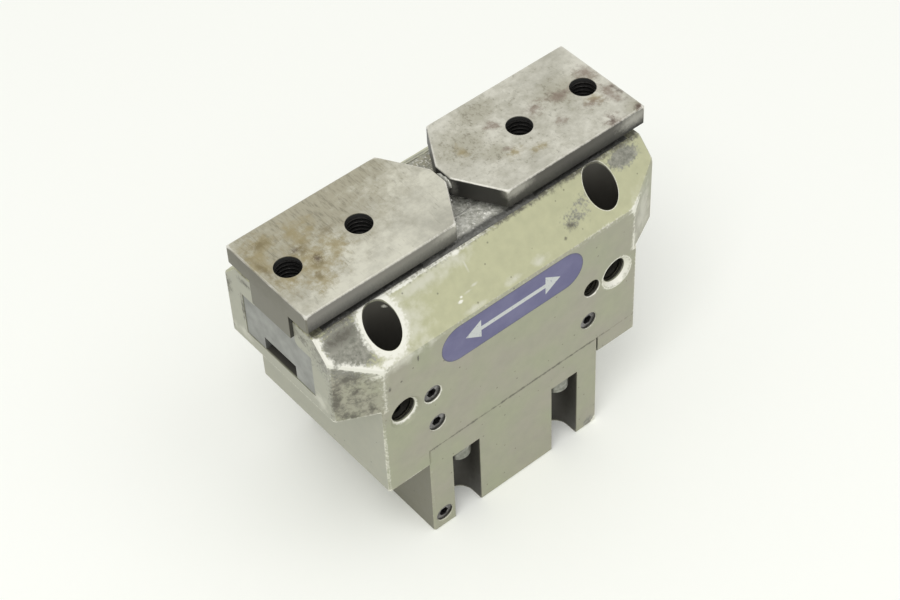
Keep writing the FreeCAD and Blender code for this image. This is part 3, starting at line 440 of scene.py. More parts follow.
# The housing's ends get a paler film, a painted light.
housing_film = anodised_aluminium(
    "anodised_housing", "#A9A99A", housing_planes,
    bare=[((-10.9, -18.9, 100.9), (2.8, 1.4, 1.6)), ((-16.9, -27.9, 91.5), (1.5, 0.8, 0.8)),
          ((-16.0, -27.2, 92.2), (0.8, 0.6, 0.6)), ((-45.5, -30.4, 88.9), (5, 2, 2.1)),
          ((-50, -31.5, 52), (0.6, 0.8, 18)), ((-31, -18.8, 100.9), (10, 1.0, 1.2)),
          ((-40, -31.5, 33.8), (10, 1.2, 0.9)), ((-37.8, -19.4, 98), (1.8, 1.3, 1.0)),
          ((14, 31.0, 88.2), (3.5, 0.9, 1.0)), ((-22, 18.8, 100.9), (7, 1.0, 1.2)),
          ((62.2, 20, 76), (1, 2, 1))],
    rims=bolt_rims + side_rims + port_rims,
    sunk=[((end * BOLT_ALONG, facing * HALF_DEPTH, SIDE_HOLE_LEVEL), (6.5, 2.6, 6.5))
          for facing in (-1, 1) for end in (-1, 1)],
    hazed_and_lit=[((-36, -25, 94.5), (11, 9, 9)), ((-26, -20.5, 99.2), (18, 4, 4)), ((-41, -31, 88), (16, 5, 4)),
           # Some hazed spots are painted light: the one on the front right facet stands for the light that
           # the facet catches.
           ((-12, -20, 99.6), (8, 3, 3)), ((55, -28, 80), (9, 7, 14)), ((-10.0, -22.3, 97.3), (0.5, 3, 3)),
           ((-10.6, -26.4, 93.0), (2, 0.5, 0.5)), ((-13.2, -27.0, 92.5), (2, 0.5, 0.5)),
           ((2, -30, 89.3), (5, 1.5, 1.5)), ((12, -29.5, 89.8), (4, 2, 2)),
           ((-14, -30.5, 88.7), (6, 1.2, 1.2)), ((34, 25, 94.5), (13, 8, 8)), ((-15, 21, 98.5), (22, 4, 4)),
           ((-55, 28, 80), (8, 6, 13)), ((62.2, -20, 84), (2, 9, 10)), ((8, 31.5, 78), (7, 1, 3)),
           ((-62.2, -19, 75), (1.5, 4, 4)), ((-62.2, 18, 74), (1.5, 6, 3))],
    scuffed=[((-54.5, -23.5, 96), (13, 12, 12)), ((29, -28.5, 95.7), (8, 5, 5)),
             ((33.5, -26.4, 97.6), (5, 4.4, 4.4)), ((53, -20.8, 98.9), (7.5, 4, 4)),
             ((55, 23, 96.5), (9, 9, 9)), ((-24, 28.5, 95.7), (9, 5, 5)), ((-6, 33.6, 60), (9, 3, 6)),
             ((64.4, 24, 90), (3, 6, 8))],
    # The band over the top face, the band along its front edge under the right plate and the spot on the left
    # shoulder just below the left plate are painted shadow of the plates as well as grime.
    dirty_and_shaded=[((0, 0, 101.4), (300, 300, 1.3)), ((34, -18, 101), (45, 2.2, 2.2)), ((8, 24, 96), (22, 10, 9)),
           ((0, 18.2, 101), (60, 2.6, 2.6)), ((57, 27, 79), (6, 5, 9)), ((-60, 25.5, 74), (5, 4, 6)),
           ((-62.2, 23.5, 91), (1.5, 3, 6)), ((-62.2, 14, 98), (1.5, 6, 2)), ((-62.2, -13, 97), (1.5, 4, 3)),
           ((-62.2, 17, 86), (1.5, 1, 8)), ((-60.8, -25, 80), (3.4, 3.4, 16)), ((-57, -27, 88), (7, 4, 4)),
           ((-57.5, -26.8, 72), (8, 4, 3.5)), ((-55.8, -27.8, 82), (3, 3, 4)),
           ((-52, -29.7, 73.2), (2.4, 2, 3)), ((-58.5, -34.2, 80), (13, 13, 24)),
           ((26.8, -27.1, 92.3), (3, 2.4, 2.4)), ((23, -28.7, 90.6), (0.8, 0.9, 0.9)),
           ((-54, -21, 98.7), (12, 3.5, 3.5)), ((10, -31.5, 40.5), (60, 300, 0.8)),
           ((-36, -31.5, 84.3), (0.45, 2, 3.2)), ((-46.7, -31.5, 78.9), (0.8, 2, 1.7)),
           ((-42.5, -31.5, 79.3), (0.6, 2, 0.6))],
    chipped=[((-52, -27, 91), (16, 8, 6)), ((-50, -31.5, 48), (4, 4, 22)), ((-20, -18.5, 101.3), (30, 3, 3)),
             ((50, -31.5, 55), (5, 5, 26)), ((36, -31.5, 90.1), (22, 3, 3)), ((50, -30.5, 89), (4, 4, 4)),
             ((-50, 31.5, 52), (4, 4, 24)), ((20, 31.5, 90), (32, 3, 3)), ((-53, 27, 91), (14, 8, 6))],
    battered=[((-54, -28, 91), (9, 9, 9)), ((-62.2, -22, 97.5), (6, 6, 6)), ((57, 26, 92.5), (9, 6, 6))])
give(housing_film, "housing")

# Screws of the block: zinc plated socket head screws whose heads hang in the block's pockets. They hold it to
# the housing, and screws of the same kind hold the jaw plates on the base jaws.
zinc_steel = machined_metal("zinc_plated_steel", "#A3A49C", "#75766E", 0.4, (1.5, 1.5, 1.5))
give(zinc_steel, "block_screws", "jaw_screws_left", "jaw_screws_right")

# Plugs: blackened set screws with a hexagon socket. They close the air ports that aren't used and the vent of
# the block, and are screwed in just below the face.
blackened_steel = machined_metal("blackened_steel", "#8E8C8D", "#5A5959", 0.34, (0.8, 0.8, 0.8))
give(blackened_steel, "port_plug_upper_left", "port_plugs_lower", "vent_plug")

# Wedge hook and base jaws: hardened steel slides ground on all faces and greased.
# The wedge's sloping rails draw both base jaws along the T-slot.
hardened_steel = machined_metal("hardened_steel", "#9A9B97", "#898A86", 0.45, (0.35, 9, 9), metallic=0.7)
give(hardened_steel, "wedge_hook", "base_jaw_left", "base_jaw_right")

# Jaw plates: flat ground tool steel, pointed at the inner end and drilled for the fingers.
# Their tops are grey and stained by coolant and rust, their sides dark with oil and with painted shade and
# reflection, their edges rubbed bright and partly a painted highlight.
PLATE_TOP = 111.5
PLATE_HEIGHTS = (104, 112)
PLATE_END = 63.75
PLATE_HALF_WIDTH = 18.6
PLATE_SHOULDER = 9.8
PLATE_POINT = ((-0.8643, 0.503, 0), 0.884)
FINGER_HOLES = (30.3, 55.7)
FINGER_HOLE_RADIUS = 4.2
plate_planes = [((1, 0, 0), PLATE_END, PLATE_HEIGHTS, 0), ((0, 1, 0), PLATE_HALF_WIDTH, PLATE_HEIGHTS, 0),
                ((0, 0, 1), PLATE_TOP, PLATE_HEIGHTS, 0), (*PLATE_POINT, PLATE_HEIGHTS, 0)]


def ground_steel(name, light, dull, side_oil_and_shade, rust, speck, grubby, stained, rusted, pitted, rubbed):
    """Ground tool steel: light grey in soft clouds, bright along its edges and round the holes, rubbed there
    and partly a painted highlight, and dark on its sides, oiled and darkened as a painted reflection of the
    shaded housing top, except where they are rubbed.

    It is dull and freckled in grubby places, yellow-brown in stained ones, where coolant dried, and brown in
    rusted and pitted ones. The two side colours give the long sides, high and low, the low one darker as
    painted shade over the gap below, and speck the size of a freckle in millimetres, which is drawn out
    across the plate where the grinding left streaks.
    """
    shaded, freckled = linear("#ABA99B"), linear("#7C7866")
    stain, pit_brown, bright = linear("#968960"), linear("#57493F"), linear("#E2E0D7")
    end_grey, worn_side = linear("#767469"), linear("#B4B2A9")
    point_dark_reflection, hole_painted_shade = linear("#3C3B37"), linear("#454543")
    material, add, place = new_material(name)
    height = add("SeparateXYZ", {"Vector": place}, "Z")
    closeness = face_closeness(add, place, height, plate_planes, reach=0.6)
    # Clouds are 12 mm wide, smears 3.5 mm, and the finest grinding lines 0.3 mm.
    cloud = add("TexNoise", {"Vector": place, "Scale": 1 / 12, "Detail": 4.0}, "Fac")
    specks = add("VectorMath", {0: place, 1: speck}, operation="DIVIDE")
    freckle = add("TexNoise", {"Vector": specks, "Scale": 1.0, "Detail": 6.0, "Roughness": 0.7}, "Fac")
    smear = add("TexNoise", {"Vector": place, "Scale": 1 / 3.5, "Detail": 7.0, "Roughness": 0.72}, "Fac")
    lines = add("VectorMath", {0: place, 1: (14, 0.3, 0.3)}, operation="DIVIDE")
    line = add("TexNoise", {"Vector": lines, "Scale": 1.0, "Detail": 3.0}, "Fac")
    tone = add("Math", {0: line, 1: 0.12, 2: cloud}, operation="MULTIPLY_ADD")
    tone = add("Math", {0: smear, 1: 0.6, 2: tone}, operation="MULTIPLY_ADD")
    tone = add("MapRange", {"Value": tone, "From Min": 0.7, "From Max": 1.08})
    colour = add("Mix", {0: tone, 6: linear(light), 7: shaded}, data_type="RGBA")
    patchy = add("Math", {0: smear, 1: 1.6, 2: -0.8}, operation="MULTIPLY_ADD")
    grub = add("Math", {0: nearness(add, place, grubby), 1: patchy}, operation="ADD")
    grub = add("MapRange", {"Value": grub, "From Min": -0.2, "From Max": 0.8}, **SMOOTH)
    dulled = add("Math", {0: grub, 1: 0.9}, operation="MULTIPLY")
    colour = add("Mix", {0: dulled, 6: colour, 7: linear(dull)}, data_type="RGBA")
    speckled = add("Math", {0: grub, 1: 0.1, 2: freckle}, operation="MULTIPLY_ADD")
    speckled = add("MapRange", {"Value": speckled, "From Min": 0.56, "From Max": 0.8, "To Max": 0.75},
                   **SMOOTH)
    colour = add("Mix", {0: speckled, 6: colour, 7: freckled}, data_type="RGBA")
    ragged = add("Math", {0: smear, 1: 3.2, 2: -1.7}, operation="MULTIPLY_ADD")
    for spots, tint, most in ((stained, stain, 0.72), (rusted, linear(rust), 0.7), (pitted, pit_brown, 0.8)):
        spread = add("Math", {0: nearness(add, place, spots), 1: ragged}, operation="ADD")
        spread = add("MapRange", {"Value": spread, "From Min": -0.1, "From Max": 1.0, "To Max": most},
                     **SMOOTH)
        colour = add("Mix", {0: spread, 6: colour, 7: tint}, data_type="RGBA")
    # The long sides are darker towards the underside, a painted shade over the gap below them, the point is
    # darker still, a painted dark reflection, and the outer end is grey.
    side_height_share = add("Math", {0: freckle, 1: 2.5, 2: height}, operation="MULTIPLY_ADD")
    side_height_share = add("MapRange", {"Value": side_height_share, "From Min": PLATE_TOP - 5.0, "From Max": PLATE_TOP - 1.3})
    side = add("Mix", {0: side_height_share, 6: linear(side_oil_and_shade[1]), 7: linear(side_oil_and_shade[0])}, data_type="RGBA")
    folded = add("VectorMath", {0: place}, operation="ABSOLUTE")
    length = add("SeparateXYZ", {"Vector": folded}, "X")
    at_point = add("Math", {0: length, 1: PLATE_SHOULDER}, operation="LESS_THAN")
    at_end = add("Math", {0: length, 1: PLATE_END - 0.5}, operation="GREATER_THAN")
    side = add("Mix", {0: at_point, 6: side, 7: point_dark_reflection}, data_type="RGBA")
    side = add("Mix", {0: at_end, 6: side, 7: end_grey}, data_type="RGBA")
    wear = add("Math", {0: freckle, 1: 0.8, 2: -0.4}, operation="MULTIPLY_ADD")
    wear = add("Math", {0: nearness(add, place, rubbed), 1: wear}, operation="ADD")
    wear = add("MapRange", {"Value": wear, "From Min": 0.0, "From Max": 0.9, "To Max": 0.75}, **SMOOTH)
    side = add("Mix", {0: wear, 6: side, 7: worn_side}, data_type="RGBA")
    # The walls of the finger holes are dark, a painted shade inside the holes.
    for hole in FINGER_HOLES:
        offset = add("VectorMath", {0: folded, 1: (hole, 0, 0)}, operation="SUBTRACT")
        flat = add("VectorMath", {0: offset, 1: ACROSS_TOP}, operation="MULTIPLY")
        distance = add("VectorMath", {0: flat}, "Value", operation="LENGTH")
        in_hole = add("Math", {0: distance, 1: FINGER_HOLE_RADIUS + 0.1}, operation="LESS_THAN")
        side = add("Mix", {0: in_hole, 6: side, 7: hole_painted_shade}, data_type="RGBA")
    on_top = add("MapRange", {"Value": height, "From Min": PLATE_TOP - 0.4, "From Max": PLATE_TOP - 0.1})
    colour = add("Mix", {0: on_top, 6: side, 7: colour}, data_type="RGBA")
    # Edges and the holes' mouths are bright: rubbed metal, and partly a painted highlight where rounded edges
    # catch the light.
    edge = add("Math", {0: closeness, 1: 1.0}, operation="SUBTRACT")
    high = add("MapRange",
               {"Value": height, "From Min": PLATE_TOP - 2.5, "From Max": PLATE_TOP - 0.6, "To Min": 0.3})
    edge = add("Math", {0: edge, 1: high}, operation="MULTIPLY")
    mouths = [((hole, 0, PLATE_TOP), ACROSS_TOP, FINGER_HOLE_RADIUS, 0.5, UPWARD, PLATE_TOP - 0.1)
              for hole in FINGER_HOLES]
    mouth = rim_nearness(add, folded, mouths)
    edge = add("Math", {0: mouth, 1: 0.55, 2: edge}, operation="MULTIPLY_ADD")
    edge = add("Math", {0: freckle, 1: 0.9, 2: edge}, operation="MULTIPLY_ADD")
    edge = add("MapRange", {"Value": edge, "From Min": 0.85, "From Max": 1.25, "To Max": 0.75}, **SMOOTH)
    colour = add("Mix", {0: edge, 6: colour, 7: bright}, data_type="RGBA")
    rough = add("MapRange", {"Value": grub, "To Min": 0.46, "To Max": 0.62})
    relief = add("Math", {0: freckle, 1: 0.5, 2: line}, operation="MULTIPLY_ADD")
    bump = add("Bump", {"Height": relief, "Strength": 0.3, "Distance": 0.03 * MM})
    finish_material(add, {"Base Color": colour, "Metallic": 0.5, "Roughness": rough, "Normal": bump})
    return material


def top_spots(*spots):
    """Spots on the plates' tops, each given by its middle and half sizes along and across the plate. They
    reach as far as 9 mm up and down."""
    return [((x, y, PLATE_TOP), (half_length, half_width, 9)) for x, y, half_length, half_width in spots]


left_plate = ground_steel(
    "ground_steel_left", light="#CFCDBD", dull="#A39E89", side_oil_and_shade=("#83817B", "#4B4A46"), rust="#776C4E",
    speck=(0.8, 4.5, 1.1),
    grubby=top_spots((-42, 13, 40, 24), (-58, 6, 22, 22), (-22, 16, 20, 9)),
    stained=top_spots((-50, -1, 10, 9), (-48, -6, 8, 8), (-51, -10, 8, 6), (-60, 7, 6, 9), (-46, 9, 8, 8),
                      (-56, 12, 8, 6), (-58, -4, 6, 6), (-41, -2, 6, 7)),
    rusted=top_spots((-47.9, -4.2, 2.6, 4), (-49.3, 2.5, 3.2, 3.5), (-56.9, 12, 5, 2.2), (-61.5, 4, 1.3, 7),
                     (-51, -8.3, 2, 2.6), (-38.5, 4.5, 3, 3)),
    pitted=top_spots((-50.5, 3.8, 1.8, 1.8), (-47.5, -3, 1.4, 2)),
    rubbed=[((-11, -PLATE_HALF_WIDTH, 110), (9, 3, 2.6)), ((-30, -PLATE_HALF_WIDTH, 111.3), (26, 3, 0.8))])
# The whole top of the right plate is a little grubby, which the wide spot above it gives.
right_plate = ground_steel(
    "ground_steel_right", light="#CFCDC0", dull="#ABA897", side_oil_and_shade=("#575550", "#2A2926"), rust="#7C6A5D",
    speck=(1.1, 1.5, 1.1),
    grubby=[*top_spots((12, 5, 12, 10), (24, 13, 12, 7), (50, 3, 14, 8), (62, -17, 5, 4), (18, -4, 7, 6)),
            ((32, 0, 120), (60, 40, 10))],
    stained=top_spots((22.2, -7.7, 4, 3), (55, -6, 5, 3), (10.4, 3, 3, 4), (29, -10.4, 4, 2.2)),
    rusted=top_spots((47, 2.0, 8, 3.4), (38.0, 2.8, 5.0, 3.4), (40.8, -6.6, 3.2, 2.6), (52.6, -16.6, 4.4, 4),
                     (59.8, -8, 4.4, 7), (53, -7.0, 5, 2.6), (60.5, 4.5, 4.6, 5.6), (21.4, -5.1, 2.6, 1.6),
                     (24.5, 5.5, 3.4, 3.4), (62.4, -18, 2.6, 2)),
    pitted=top_spots((52.6, -16.6, 2.8, 2.6), (61.8, -17.4, 2.4, 1.4), (62.6, -8, 1.2, 3)),
    rubbed=[((13, -PLATE_HALF_WIDTH, 110), (9, 3, 3)), ((60, -PLATE_HALF_WIDTH, 109), (10, 3, 4)),
            ((1.6, -2.5, 108), (2.6, 3.5, 5))])
give(left_plate, "jaw_plate_left")
give(right_plate, "jaw_plate_right")

# Packed grime: oil, dust and steel filings lie caked on the top of the housing and of the wedge, in the
# gap between the plates. The grime between the plates is coloured pale, a painted light against the shade
# there, and the cakes under the plates' edges are near black, a painted shade. Each cake is a thin closed
# sheet, lumpy on top and flat underneath, and a bead of it sticks to the right plate's point.
WEDGE_TOP = 99.5


def smooth_noise(rng, shape, width):
    """Random heights from 0 to 1 blurred over a width in grid steps, by a bell curve on the spectrum."""
    rows = np.fft.fftfreq(shape[0])[:, None]
    columns = np.fft.fftfreq(shape[1])[None, :]
    bell = np.exp(-2 * (math.pi * width) ** 2 * (rows ** 2 + columns ** 2))
    field = np.fft.ifft2(np.fft.fft2(rng.random(shape)) * bell).real
    return (field - field.min()) / (field.max() - field.min())


def cake_of_grime(name, low, high, level, tallest, body, material, seed):
    """A sheet over a rectangle. Its height is lumps times grains, feathered to nothing towards its rim."""
    step, end_feather, side_feather, sunk = 0.2, 4, 0.8, 0.05
    lump_steps, grain_steps = 7, 1.3
    x, y = np.meshgrid(np.arange(low[0], high[0], step), np.arange(low[1], high[1], step), indexing="ij")
    rng = np.random.default_rng(seed)
    lumps = smooth_noise(rng, x.shape, lump_steps)
    grains = smooth_noise(rng, x.shape, grain_steps)
    inset = np.minimum.reduce([(x - low[0]) / end_feather, (high[0] - step - x) / end_feather,
                               (y - low[1]) / side_feather, (high[1] - step - y) / side_feather])
    feather = np.clip(inset, 0, 1)
    height = tallest * feather * (0.12 + 0.4 * lumps + 0.9 * np.clip(grains - 0.45, 0, 1) * (0.4 + lumps))
    top = np.stack([x, y, level + np.minimum(height, tallest)], axis=-1).reshape(-1, 3)
    bottom = np.stack([x, y, np.full_like(x, level - sunk)], axis=-1).reshape(-1, 3)
    rows, columns = x.shape
    index = np.arange(rows * columns).reshape(rows, columns)
    quads = np.stack([index[:-1, :-1], index[1:, :-1], index[1:, 1:], index[:-1, 1:]], axis=-1).reshape(-1, 4)
    rim = np.concatenate([index[:-1, 0], index[-1, :-1], index[:0:-1, -1], index[0, :0:-1]])
    following = np.roll(rim, -1)
    under = rows * columns
    walls = np.stack([rim, rim + under, following + under, following], axis=-1)
    faces = np.concatenate([quads, quads[:, ::-1] + under, walls]).tolist()
    return new_piece(name, np.concatenate([top, bottom]), faces, body, material)


def caked_grime(name, dry, wet_and_shaded, rim):
    """Oily dust with steel filings: dull grey in 1.5 mm clots, with bright filings about 0.7 mm across. Its
    clot colour and the dry colour of the grime between the plates are pale, a painted light against the shade
    there.
    It is dry in the middle of the object and dark from a distance of rim off its middle, drenched in
    lubricant and in painted shade under the plates' edges."""
    clot_grey, filing_bright = linear("#97978B"), linear("#E6E5DC")
    material, add, place = new_material(name)
    clot = add("TexNoise", {"Vector": place, "Scale": 1 / 1.5, "Detail": 6.0, "Roughness": 0.7}, "Fac")
    filing = add("TexNoise", {"Vector": place, "Scale": 1 / 0.7, "Detail": 2.0, "Roughness": 0.6}, "Fac")
    tone = add("MapRange", {"Value": clot, "From Min": 0.35, "From Max": 0.65})
    colour = add("Mix", {0: tone, 6: clot_grey, 7: linear(dry)}, data_type="RGBA")
    shiny = add("MapRange", {"Value": filing, "From Min": 0.58, "From Max": 0.66})
    colour = add("Mix", {0: shiny, 6: colour, 7: filing_bright}, data_type="RGBA")
    folded = add("VectorMath", {0: place}, operation="ABSOLUTE")
    aside = add("SeparateXYZ", {"Vector": folded}, "Y")
    aside = add("Math", {0: clot, 1: 3.0, 2: aside}, operation="MULTIPLY_ADD")
    soaked_and_shaded = add("MapRange", {"Value": aside, "From Min": rim, "From Max": rim + 1.4, "To Max": 0.85})
    colour = add("Mix", {0: soaked_and_shaded, 6: colour, 7: linear(wet_and_shaded)}, data_type="RGBA")
    metal = add("Math", {0: shiny, 1: 0.5}, operation="MULTIPLY")
    rough = add("MapRange", {"Value": shiny, "To Min": 0.6, "To Max": 0.4})
    bump = add("Bump", {"Height": filing, "Strength": 0.5, "Distance": 0.15 * MM})
    finish_material(add, {"Base Color": colour, "Metallic": metal, "Roughness": rough, "Normal": bump})
    return material


# The pale grime is a painted light against the shade between the plates, and its edge under the plates
# darkens as painted shade.
packed_grime_painted_light = caked_grime("oily_dust_and_filings_painted_light", dry="#DAD9CF", wet_and_shaded="#3A3A38", rim=16.4)
back_grime = caked_grime("greasy_dust", dry="#A8A48C", wet_and_shaded="#4A4943", rim=19)
oil_cake_painted_shade = caked_grime("oil_soaked_dust_painted_shade", dry="#77766F", wet_and_shaded="#1E1E1D", rim=10)
cake_of_grime("grime_front_lip", (-22, -18.2), (22, -8.0), HOUSING_TOP, 1.1, "body",
              packed_grime_painted_light, seed=3)
cake_of_grime("grime_back_lip", (-22, 8.0), (22, 18.2), HOUSING_TOP, 1.1, "body",
              back_grime, seed=4)
# These cakes under the plates' edges are near black: oil-soaked dust and a painted shade where the plates
# shade the housing top.
for side, (near, far) in (("left", (-58, -20)), ("right", (20, 58))):
    for edge_name, (front, rear) in (("front", (-17.7, -11)), ("back", (11, 17.7))):
        cake_of_grime(f"grime_{edge_name}_{side}", (near, front), (far, rear), HOUSING_TOP, 0.6, "body",
                      oil_cake_painted_shade, seed=6)
cake_of_grime("grime_on_wedge", (-20, -7.9), (20, 7.9), WEDGE_TOP, 1.9, "piston",
              packed_grime_painted_light, seed=5)
# The bead is an upright oval carried along the blunt point, lumpy and drawn in to nothing at both ends.
BEAD_MIDDLE = (0.35, -0.9, 108.9)
BEAD_HALF_SIZES = (0.7, 3.4, 2.0)
bead_rows, bead_columns = 60, 16
along, around = np.meshgrid(np.linspace(-1, 1, bead_rows),
                            np.arange(bead_columns) * 2 * math.pi / bead_columns, indexing="ij")
bead_lumps = 0.75 + 0.45 * smooth_noise(np.random.default_rng(8), along.shape, 2)
bead_swell = bead_lumps * np.sqrt(np.clip(1.02 - along ** 2, 0, 1))
bead_shares = np.stack([bead_swell * np.cos(around), along, bead_swell * np.sin(around)], axis=-1)
bead_points = np.array(BEAD_MIDDLE) + np.array(BEAD_HALF_SIZES) * bead_shares
new_piece("grime_on_point", bead_points, tube_faces(bead_rows, bead_columns), "jaw_right",
          packed_grime_painted_light)

# Label: a violet printed film, let into a shallow capsule on the front face.
# A plain double arrow shows the way the jaws move.
LABEL_MIDDLE = 79.8
LABEL_STRAIGHT = 20.5
LABEL_RADIUS = 7.0
ARROW_TIP = 18.5
ARROW_HEAD = 12.5
ARROW_SLOPE = 0.62
ARROW_BAR = 0.9


def printed_film(name):
    """Printed plastic film: satin violet with a pale print, faded in clouds, scuffed, and darker at the rim.
    """
    violet, faded, pale, darkening = linear("#605F85"), linear("#6E6D90"), linear("#C9CDCB"), linear("#55544F")
    material, add, place = new_material(name)
    centred = add("VectorMath", {0: place, 1: (0, 0, LABEL_MIDDLE)}, operation="SUBTRACT")
    folded = add("VectorMath", {0: centred}, operation="ABSOLUTE")
    across = add("SeparateXYZ", {"Vector": folded}, "X")
    upright = add("SeparateXYZ", {"Vector": folded}, "Z")
    past = add("Math", {0: across, 1: LABEL_STRAIGHT}, operation="SUBTRACT")
    past = add("Math", {0: past, 1: 0.0}, operation="MAXIMUM")
    squared = add("Math", {0: upright, 1: 2.0}, operation="POWER")
    squared = add("Math", {0: past, 1: past, 2: squared}, operation="MULTIPLY_ADD")
    radius = add("Math", {0: squared}, operation="SQRT")
    # The arrow is a 1.8 mm bar with a 6 mm head at each end, and half is its half height at a point.
    head = add("Math", {0: ARROW_TIP, 1: across}, operation="SUBTRACT")
    head = add("Math", {0: head, 1: ARROW_SLOPE}, operation="MULTIPLY")
    in_head = add("Math", {0: across, 1: ARROW_HEAD}, operation="GREATER_THAN")
    half = add("Mix", {0: in_head, 2: ARROW_BAR, 3: head}, data_type="FLOAT")
    inside = add("Math", {0: half, 1: upright}, operation="SUBTRACT")
    arrow = add("MapRange", {"Value": inside, "From Min": 0.0, "From Max": 0.15})
    cloud = add("TexNoise", {"Vector": place, "Scale": 1 / 7, "Detail": 4.0}, "Fac")
    scuff = add("TexNoise", {"Vector": place, "Scale": 1 / 0.9, "Detail": 6.0, "Roughness": 0.7}, "Fac")
    fading = add("MapRange", {"Value": cloud, "From Min": 0.35, "From Max": 0.65})
    film = add("Mix", {0: fading, 6: violet, 7: faded}, data_type="RGBA")
    kept = add("MapRange", {"Value": scuff, "From Min": 0.34, "From Max": 0.42})
    printed = add("Math", {0: arrow, 1: kept}, operation="MULTIPLY")
    film = add("Mix", {0: printed, 6: film, 7: pale}, data_type="RGBA")
    rim = add("Math", {0: scuff, 1: 1.6, 2: radius}, operation="MULTIPLY_ADD")
    rim = add("MapRange",
              {"Value": rim, "From Min": LABEL_RADIUS + 0.2, "From Max": LABEL_RADIUS + 0.9, "To Max": 0.7})
    film = add("Mix", {0: rim, 6: film, 7: darkening}, data_type="RGBA")
    rough = add("MapRange", {"Value": scuff, "To Min": 0.4, "To Max": 0.6})
    bump = add("Bump", {"Height": scuff, "Strength": 0.15, "Distance": 0.02 * MM})
    finish_material(add, {"Base Color": film, "Roughness": rough, "Normal": bump})
    return material


give(printed_film("printed_label_film"), "front_label")

# Threads: the finger holes, the side holes and the open air port are tapped, and the turns catch the light.
# Each is one thin ridge that winds up the wall of its hole and runs out at both ends.
SCREW_PITCH, PORT_PITCH = 1.5, 1.0
TURNS_START = 0.9
TURNS_LENGTH = 9
# The ridge's height and half width are shares of the pitch. Its foot lies a hair within the wall.
RIDGE_HEIGHT, RIDGE_HALF_WIDTH = 0.22, 0.42
RIDGE_FOOT = 0.03
ROWS_PER_TURN = 48


def thread_turns(name, centre, outward, radius, pitch, length, body, material):
    """A ridge of three corners carried along a helix on the hole's wall. Its height fades at both ends."""
    turns = length / pitch
    rows = int(turns * ROWS_PER_TURN)
    share = np.linspace(0, 1, rows)[:, None]
    depth = RIDGE_HEIGHT * pitch * np.clip(6 * np.minimum(share, 1 - share), 0.02, 1)
    angle = 2 * math.pi * turns * share
    foot = np.full_like(depth, radius + RIDGE_FOOT)
    ridge = np.concatenate([foot, radius - depth, foot], axis=1)
    inward = length * share + pitch * np.array([[-RIDGE_HALF_WIDTH, 0.0, RIDGE_HALF_WIDTH]])
    outward = np.asarray(outward, float)
    aslant = [1.0, 0.3, 0.2]
    first = np.cross(outward, aslant)
    first /= np.linalg.norm(first)
    second = np.cross(outward, first)
    points = (np.asarray(centre) - outward * inward[..., None]
              + first * (ridge * np.cos(angle))[..., None] + second * (ridge * np.sin(angle))[..., None])
    return new_piece(name, points, tube_faces(rows, 3), body, material)


# The tapped metal is coloured dark, a painted shade deep inside the holes.
shaded_cut_aluminium = machined_metal("tapped_aluminium_painted_shade", "#454339", "#22211E", 0.55, (0.5, 0.5, 0.5))
shaded_cut_steel = machined_metal("tapped_steel_painted_shade", "#3C3B39", "#262524", 0.6, (0.5, 0.5, 0.5))
for side, sign in (("left", -1), ("right", 1)):
    for face, facing in (("front", -1), ("back", 1)):
        # The upright bolt hole crosses the side hole, so the turns are in two stretches.
        for stretch, outer, length in (("outer", 29.3, 2.0), ("inner", 19.3, 7.0)):
            mouth = (sign * BOLT_ALONG, facing * outer, SIDE_HOLE_LEVEL)
            thread_turns(f"side_thread_{face}_{side}_{stretch}", mouth, (0, facing, 0), SIDE_HOLE_RADIUS,
                         SCREW_PITCH, length, "body", shaded_cut_aluminium)
    for place_name, hole in zip(("inner", "outer"), FINGER_HOLES):
        mouth = (sign * hole, 0, PLATE_TOP - TURNS_START)
        thread_turns(f"finger_thread_{side}_{place_name}", mouth, UPWARD, FINGER_HOLE_RADIUS, SCREW_PITCH,
                     TURNS_LENGTH, f"jaw_{side}", shaded_cut_steel)
port_mouth = (UPPER_PORT, TURNS_START - HALF_DEPTH, SIDE_HOLE_LEVEL)
thread_turns("air_port_thread", port_mouth, FRONTWARD, PORT_RADIUS, PORT_PITCH, TURNS_LENGTH, "body",
             shaded_cut_aluminium)

# Floor: a plain white table top that the gripper stands on. To the camera and in reflections it has a faint
# glow of its own, which brings it near white, and it keeps the shadow.
FLOOR_REACH = 4
FLOOR_GLOW = 0.08
floor_corners = [(along * FLOOR_REACH, across * FLOOR_REACH, 0)
                 for along, across in ((-1, -1), (1, -1), (1, 1), (-1, 1))]


def looked_at(add):
    """1 for rays from the camera, off gloss or through glass, and 0 for rays that only carry light."""
    seen = add("LightPath", output="Is Camera Ray")
    mirrored = add("LightPath", output="Is Glossy Ray")
    passed = add("LightPath", output="Is Transmission Ray")
    either = add("Math", {0: seen, 1: mirrored}, operation="MAXIMUM")
    return add("Math", {0: either, 1: passed}, operation="MAXIMUM")


floor_mesh = bpy.data.meshes.new("floor")
floor_mesh.from_pydata(floor_corners, [], [(0, 1, 2, 3)])
floor = bpy.data.objects.new("floor", floor_mesh)
bpy.context.collection.objects.link(floor)
floor_paint = bpy.data.materials.new("white_table")
add = empty_tree(floor_paint)
lift = add("Math", {0: looked_at(add), 1: FLOOR_GLOW}, operation="MULTIPLY")
glow = add("Emission", {"Color": linear("#FCFFF9"), "Strength": lift})
paint = add("BsdfDiffuse", {"Color": linear("#F2F3ED")})
surface = add("AddShader", {0: paint, 1: glow})
add("OutputMaterial", {"Surface": surface})
floor.data.materials.append(floor_paint)

# Light: a large soft lamp high at the front left gives the shape and the shadow, a weaker one at the front
# right fills it, and a pale room lights the rest.
LAMP_AIM = (0, 0, 0.06)
LAMP_SIZE = 0.7
ROOM_LIGHT = 0.70


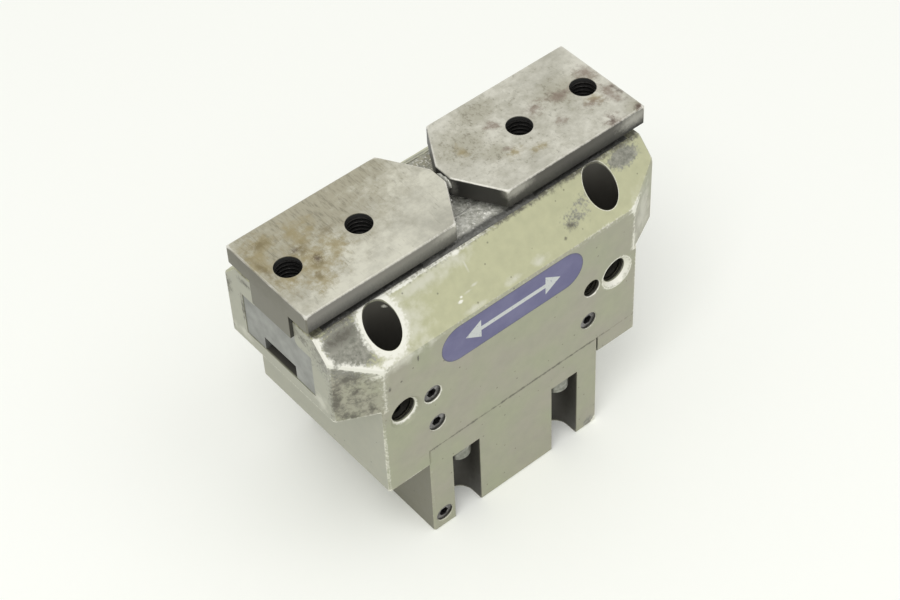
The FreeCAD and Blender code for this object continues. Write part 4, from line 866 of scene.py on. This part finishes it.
def soft_lamp(name, position, power):
    """A square lamp at a position, aimed at the gripper."""
    lamp = bpy.data.lights.new(name, "AREA")
    lamp.size = LAMP_SIZE
    lamp.energy = power
    lamp_object = bpy.data.objects.new(name, lamp)
    back = np.asarray(position, float) - np.asarray(LAMP_AIM, float)
    back /= np.linalg.norm(back)
    right = np.cross(UPWARD, back)
    right /= np.linalg.norm(right)
    turn = np.stack([right, np.cross(back, right), back], axis=1)
    lamp_object.matrix_world = Matrix.Translation(position) @ Matrix(turn.tolist()).to_4x4()
    bpy.context.collection.objects.link(lamp_object)


soft_lamp("main_lamp", (-0.6, -0.45, 1.45), power=8.6)
soft_lamp("fill_lamp", (0.3, -0.7, 1.4), power=2.0)
world = bpy.data.worlds.new("pale_room")
add = empty_tree(world)
strength = add("MapRange", {"Value": looked_at(add), "To Min": ROOM_LIGHT, "To Max": 1.0})
room = add("Background", {"Color": (1, 1, 1, 1), "Strength": strength})
add("OutputWorld", {"Surface": room})
bpy.context.scene.world = world
bpy.context.scene.view_settings.view_transform = "Standard"

# Camera: a long lens at the photograph's viewing angle, high in front of the left end and turned a little.
# Its place, angles and focal length were fitted to the gripper's straight edges.
CAMERA_PLACE = (-0.2719, -0.3519, 0.5432)
CAMERA_ANGLES = (-37.79, 47.55, -3.0)
FOCAL_LENGTH = 85.33
azimuth, elevation, roll = (math.radians(angle) for angle in CAMERA_ANGLES)
back = np.array([math.sin(azimuth) * math.cos(elevation), -math.cos(azimuth) * math.cos(elevation),
                 math.sin(elevation)])
level_right = np.array([math.cos(azimuth), math.sin(azimuth), 0])
level_up = np.cross(back, level_right)
camera_right = math.cos(roll) * level_right + math.sin(roll) * level_up
camera_up = math.cos(roll) * level_up - math.sin(roll) * level_right
camera_turn = np.stack([camera_right, camera_up, back], axis=1)
camera_data = bpy.data.cameras.new("camera")
camera_data.sensor_width = 36
camera_data.lens = FOCAL_LENGTH
camera = bpy.data.objects.new("camera", camera_data)
camera.matrix_world = Matrix.Translation(CAMERA_PLACE) @ Matrix(camera_turn.tolist()).to_4x4()
bpy.context.collection.objects.link(camera)
bpy.context.scene.camera = camera
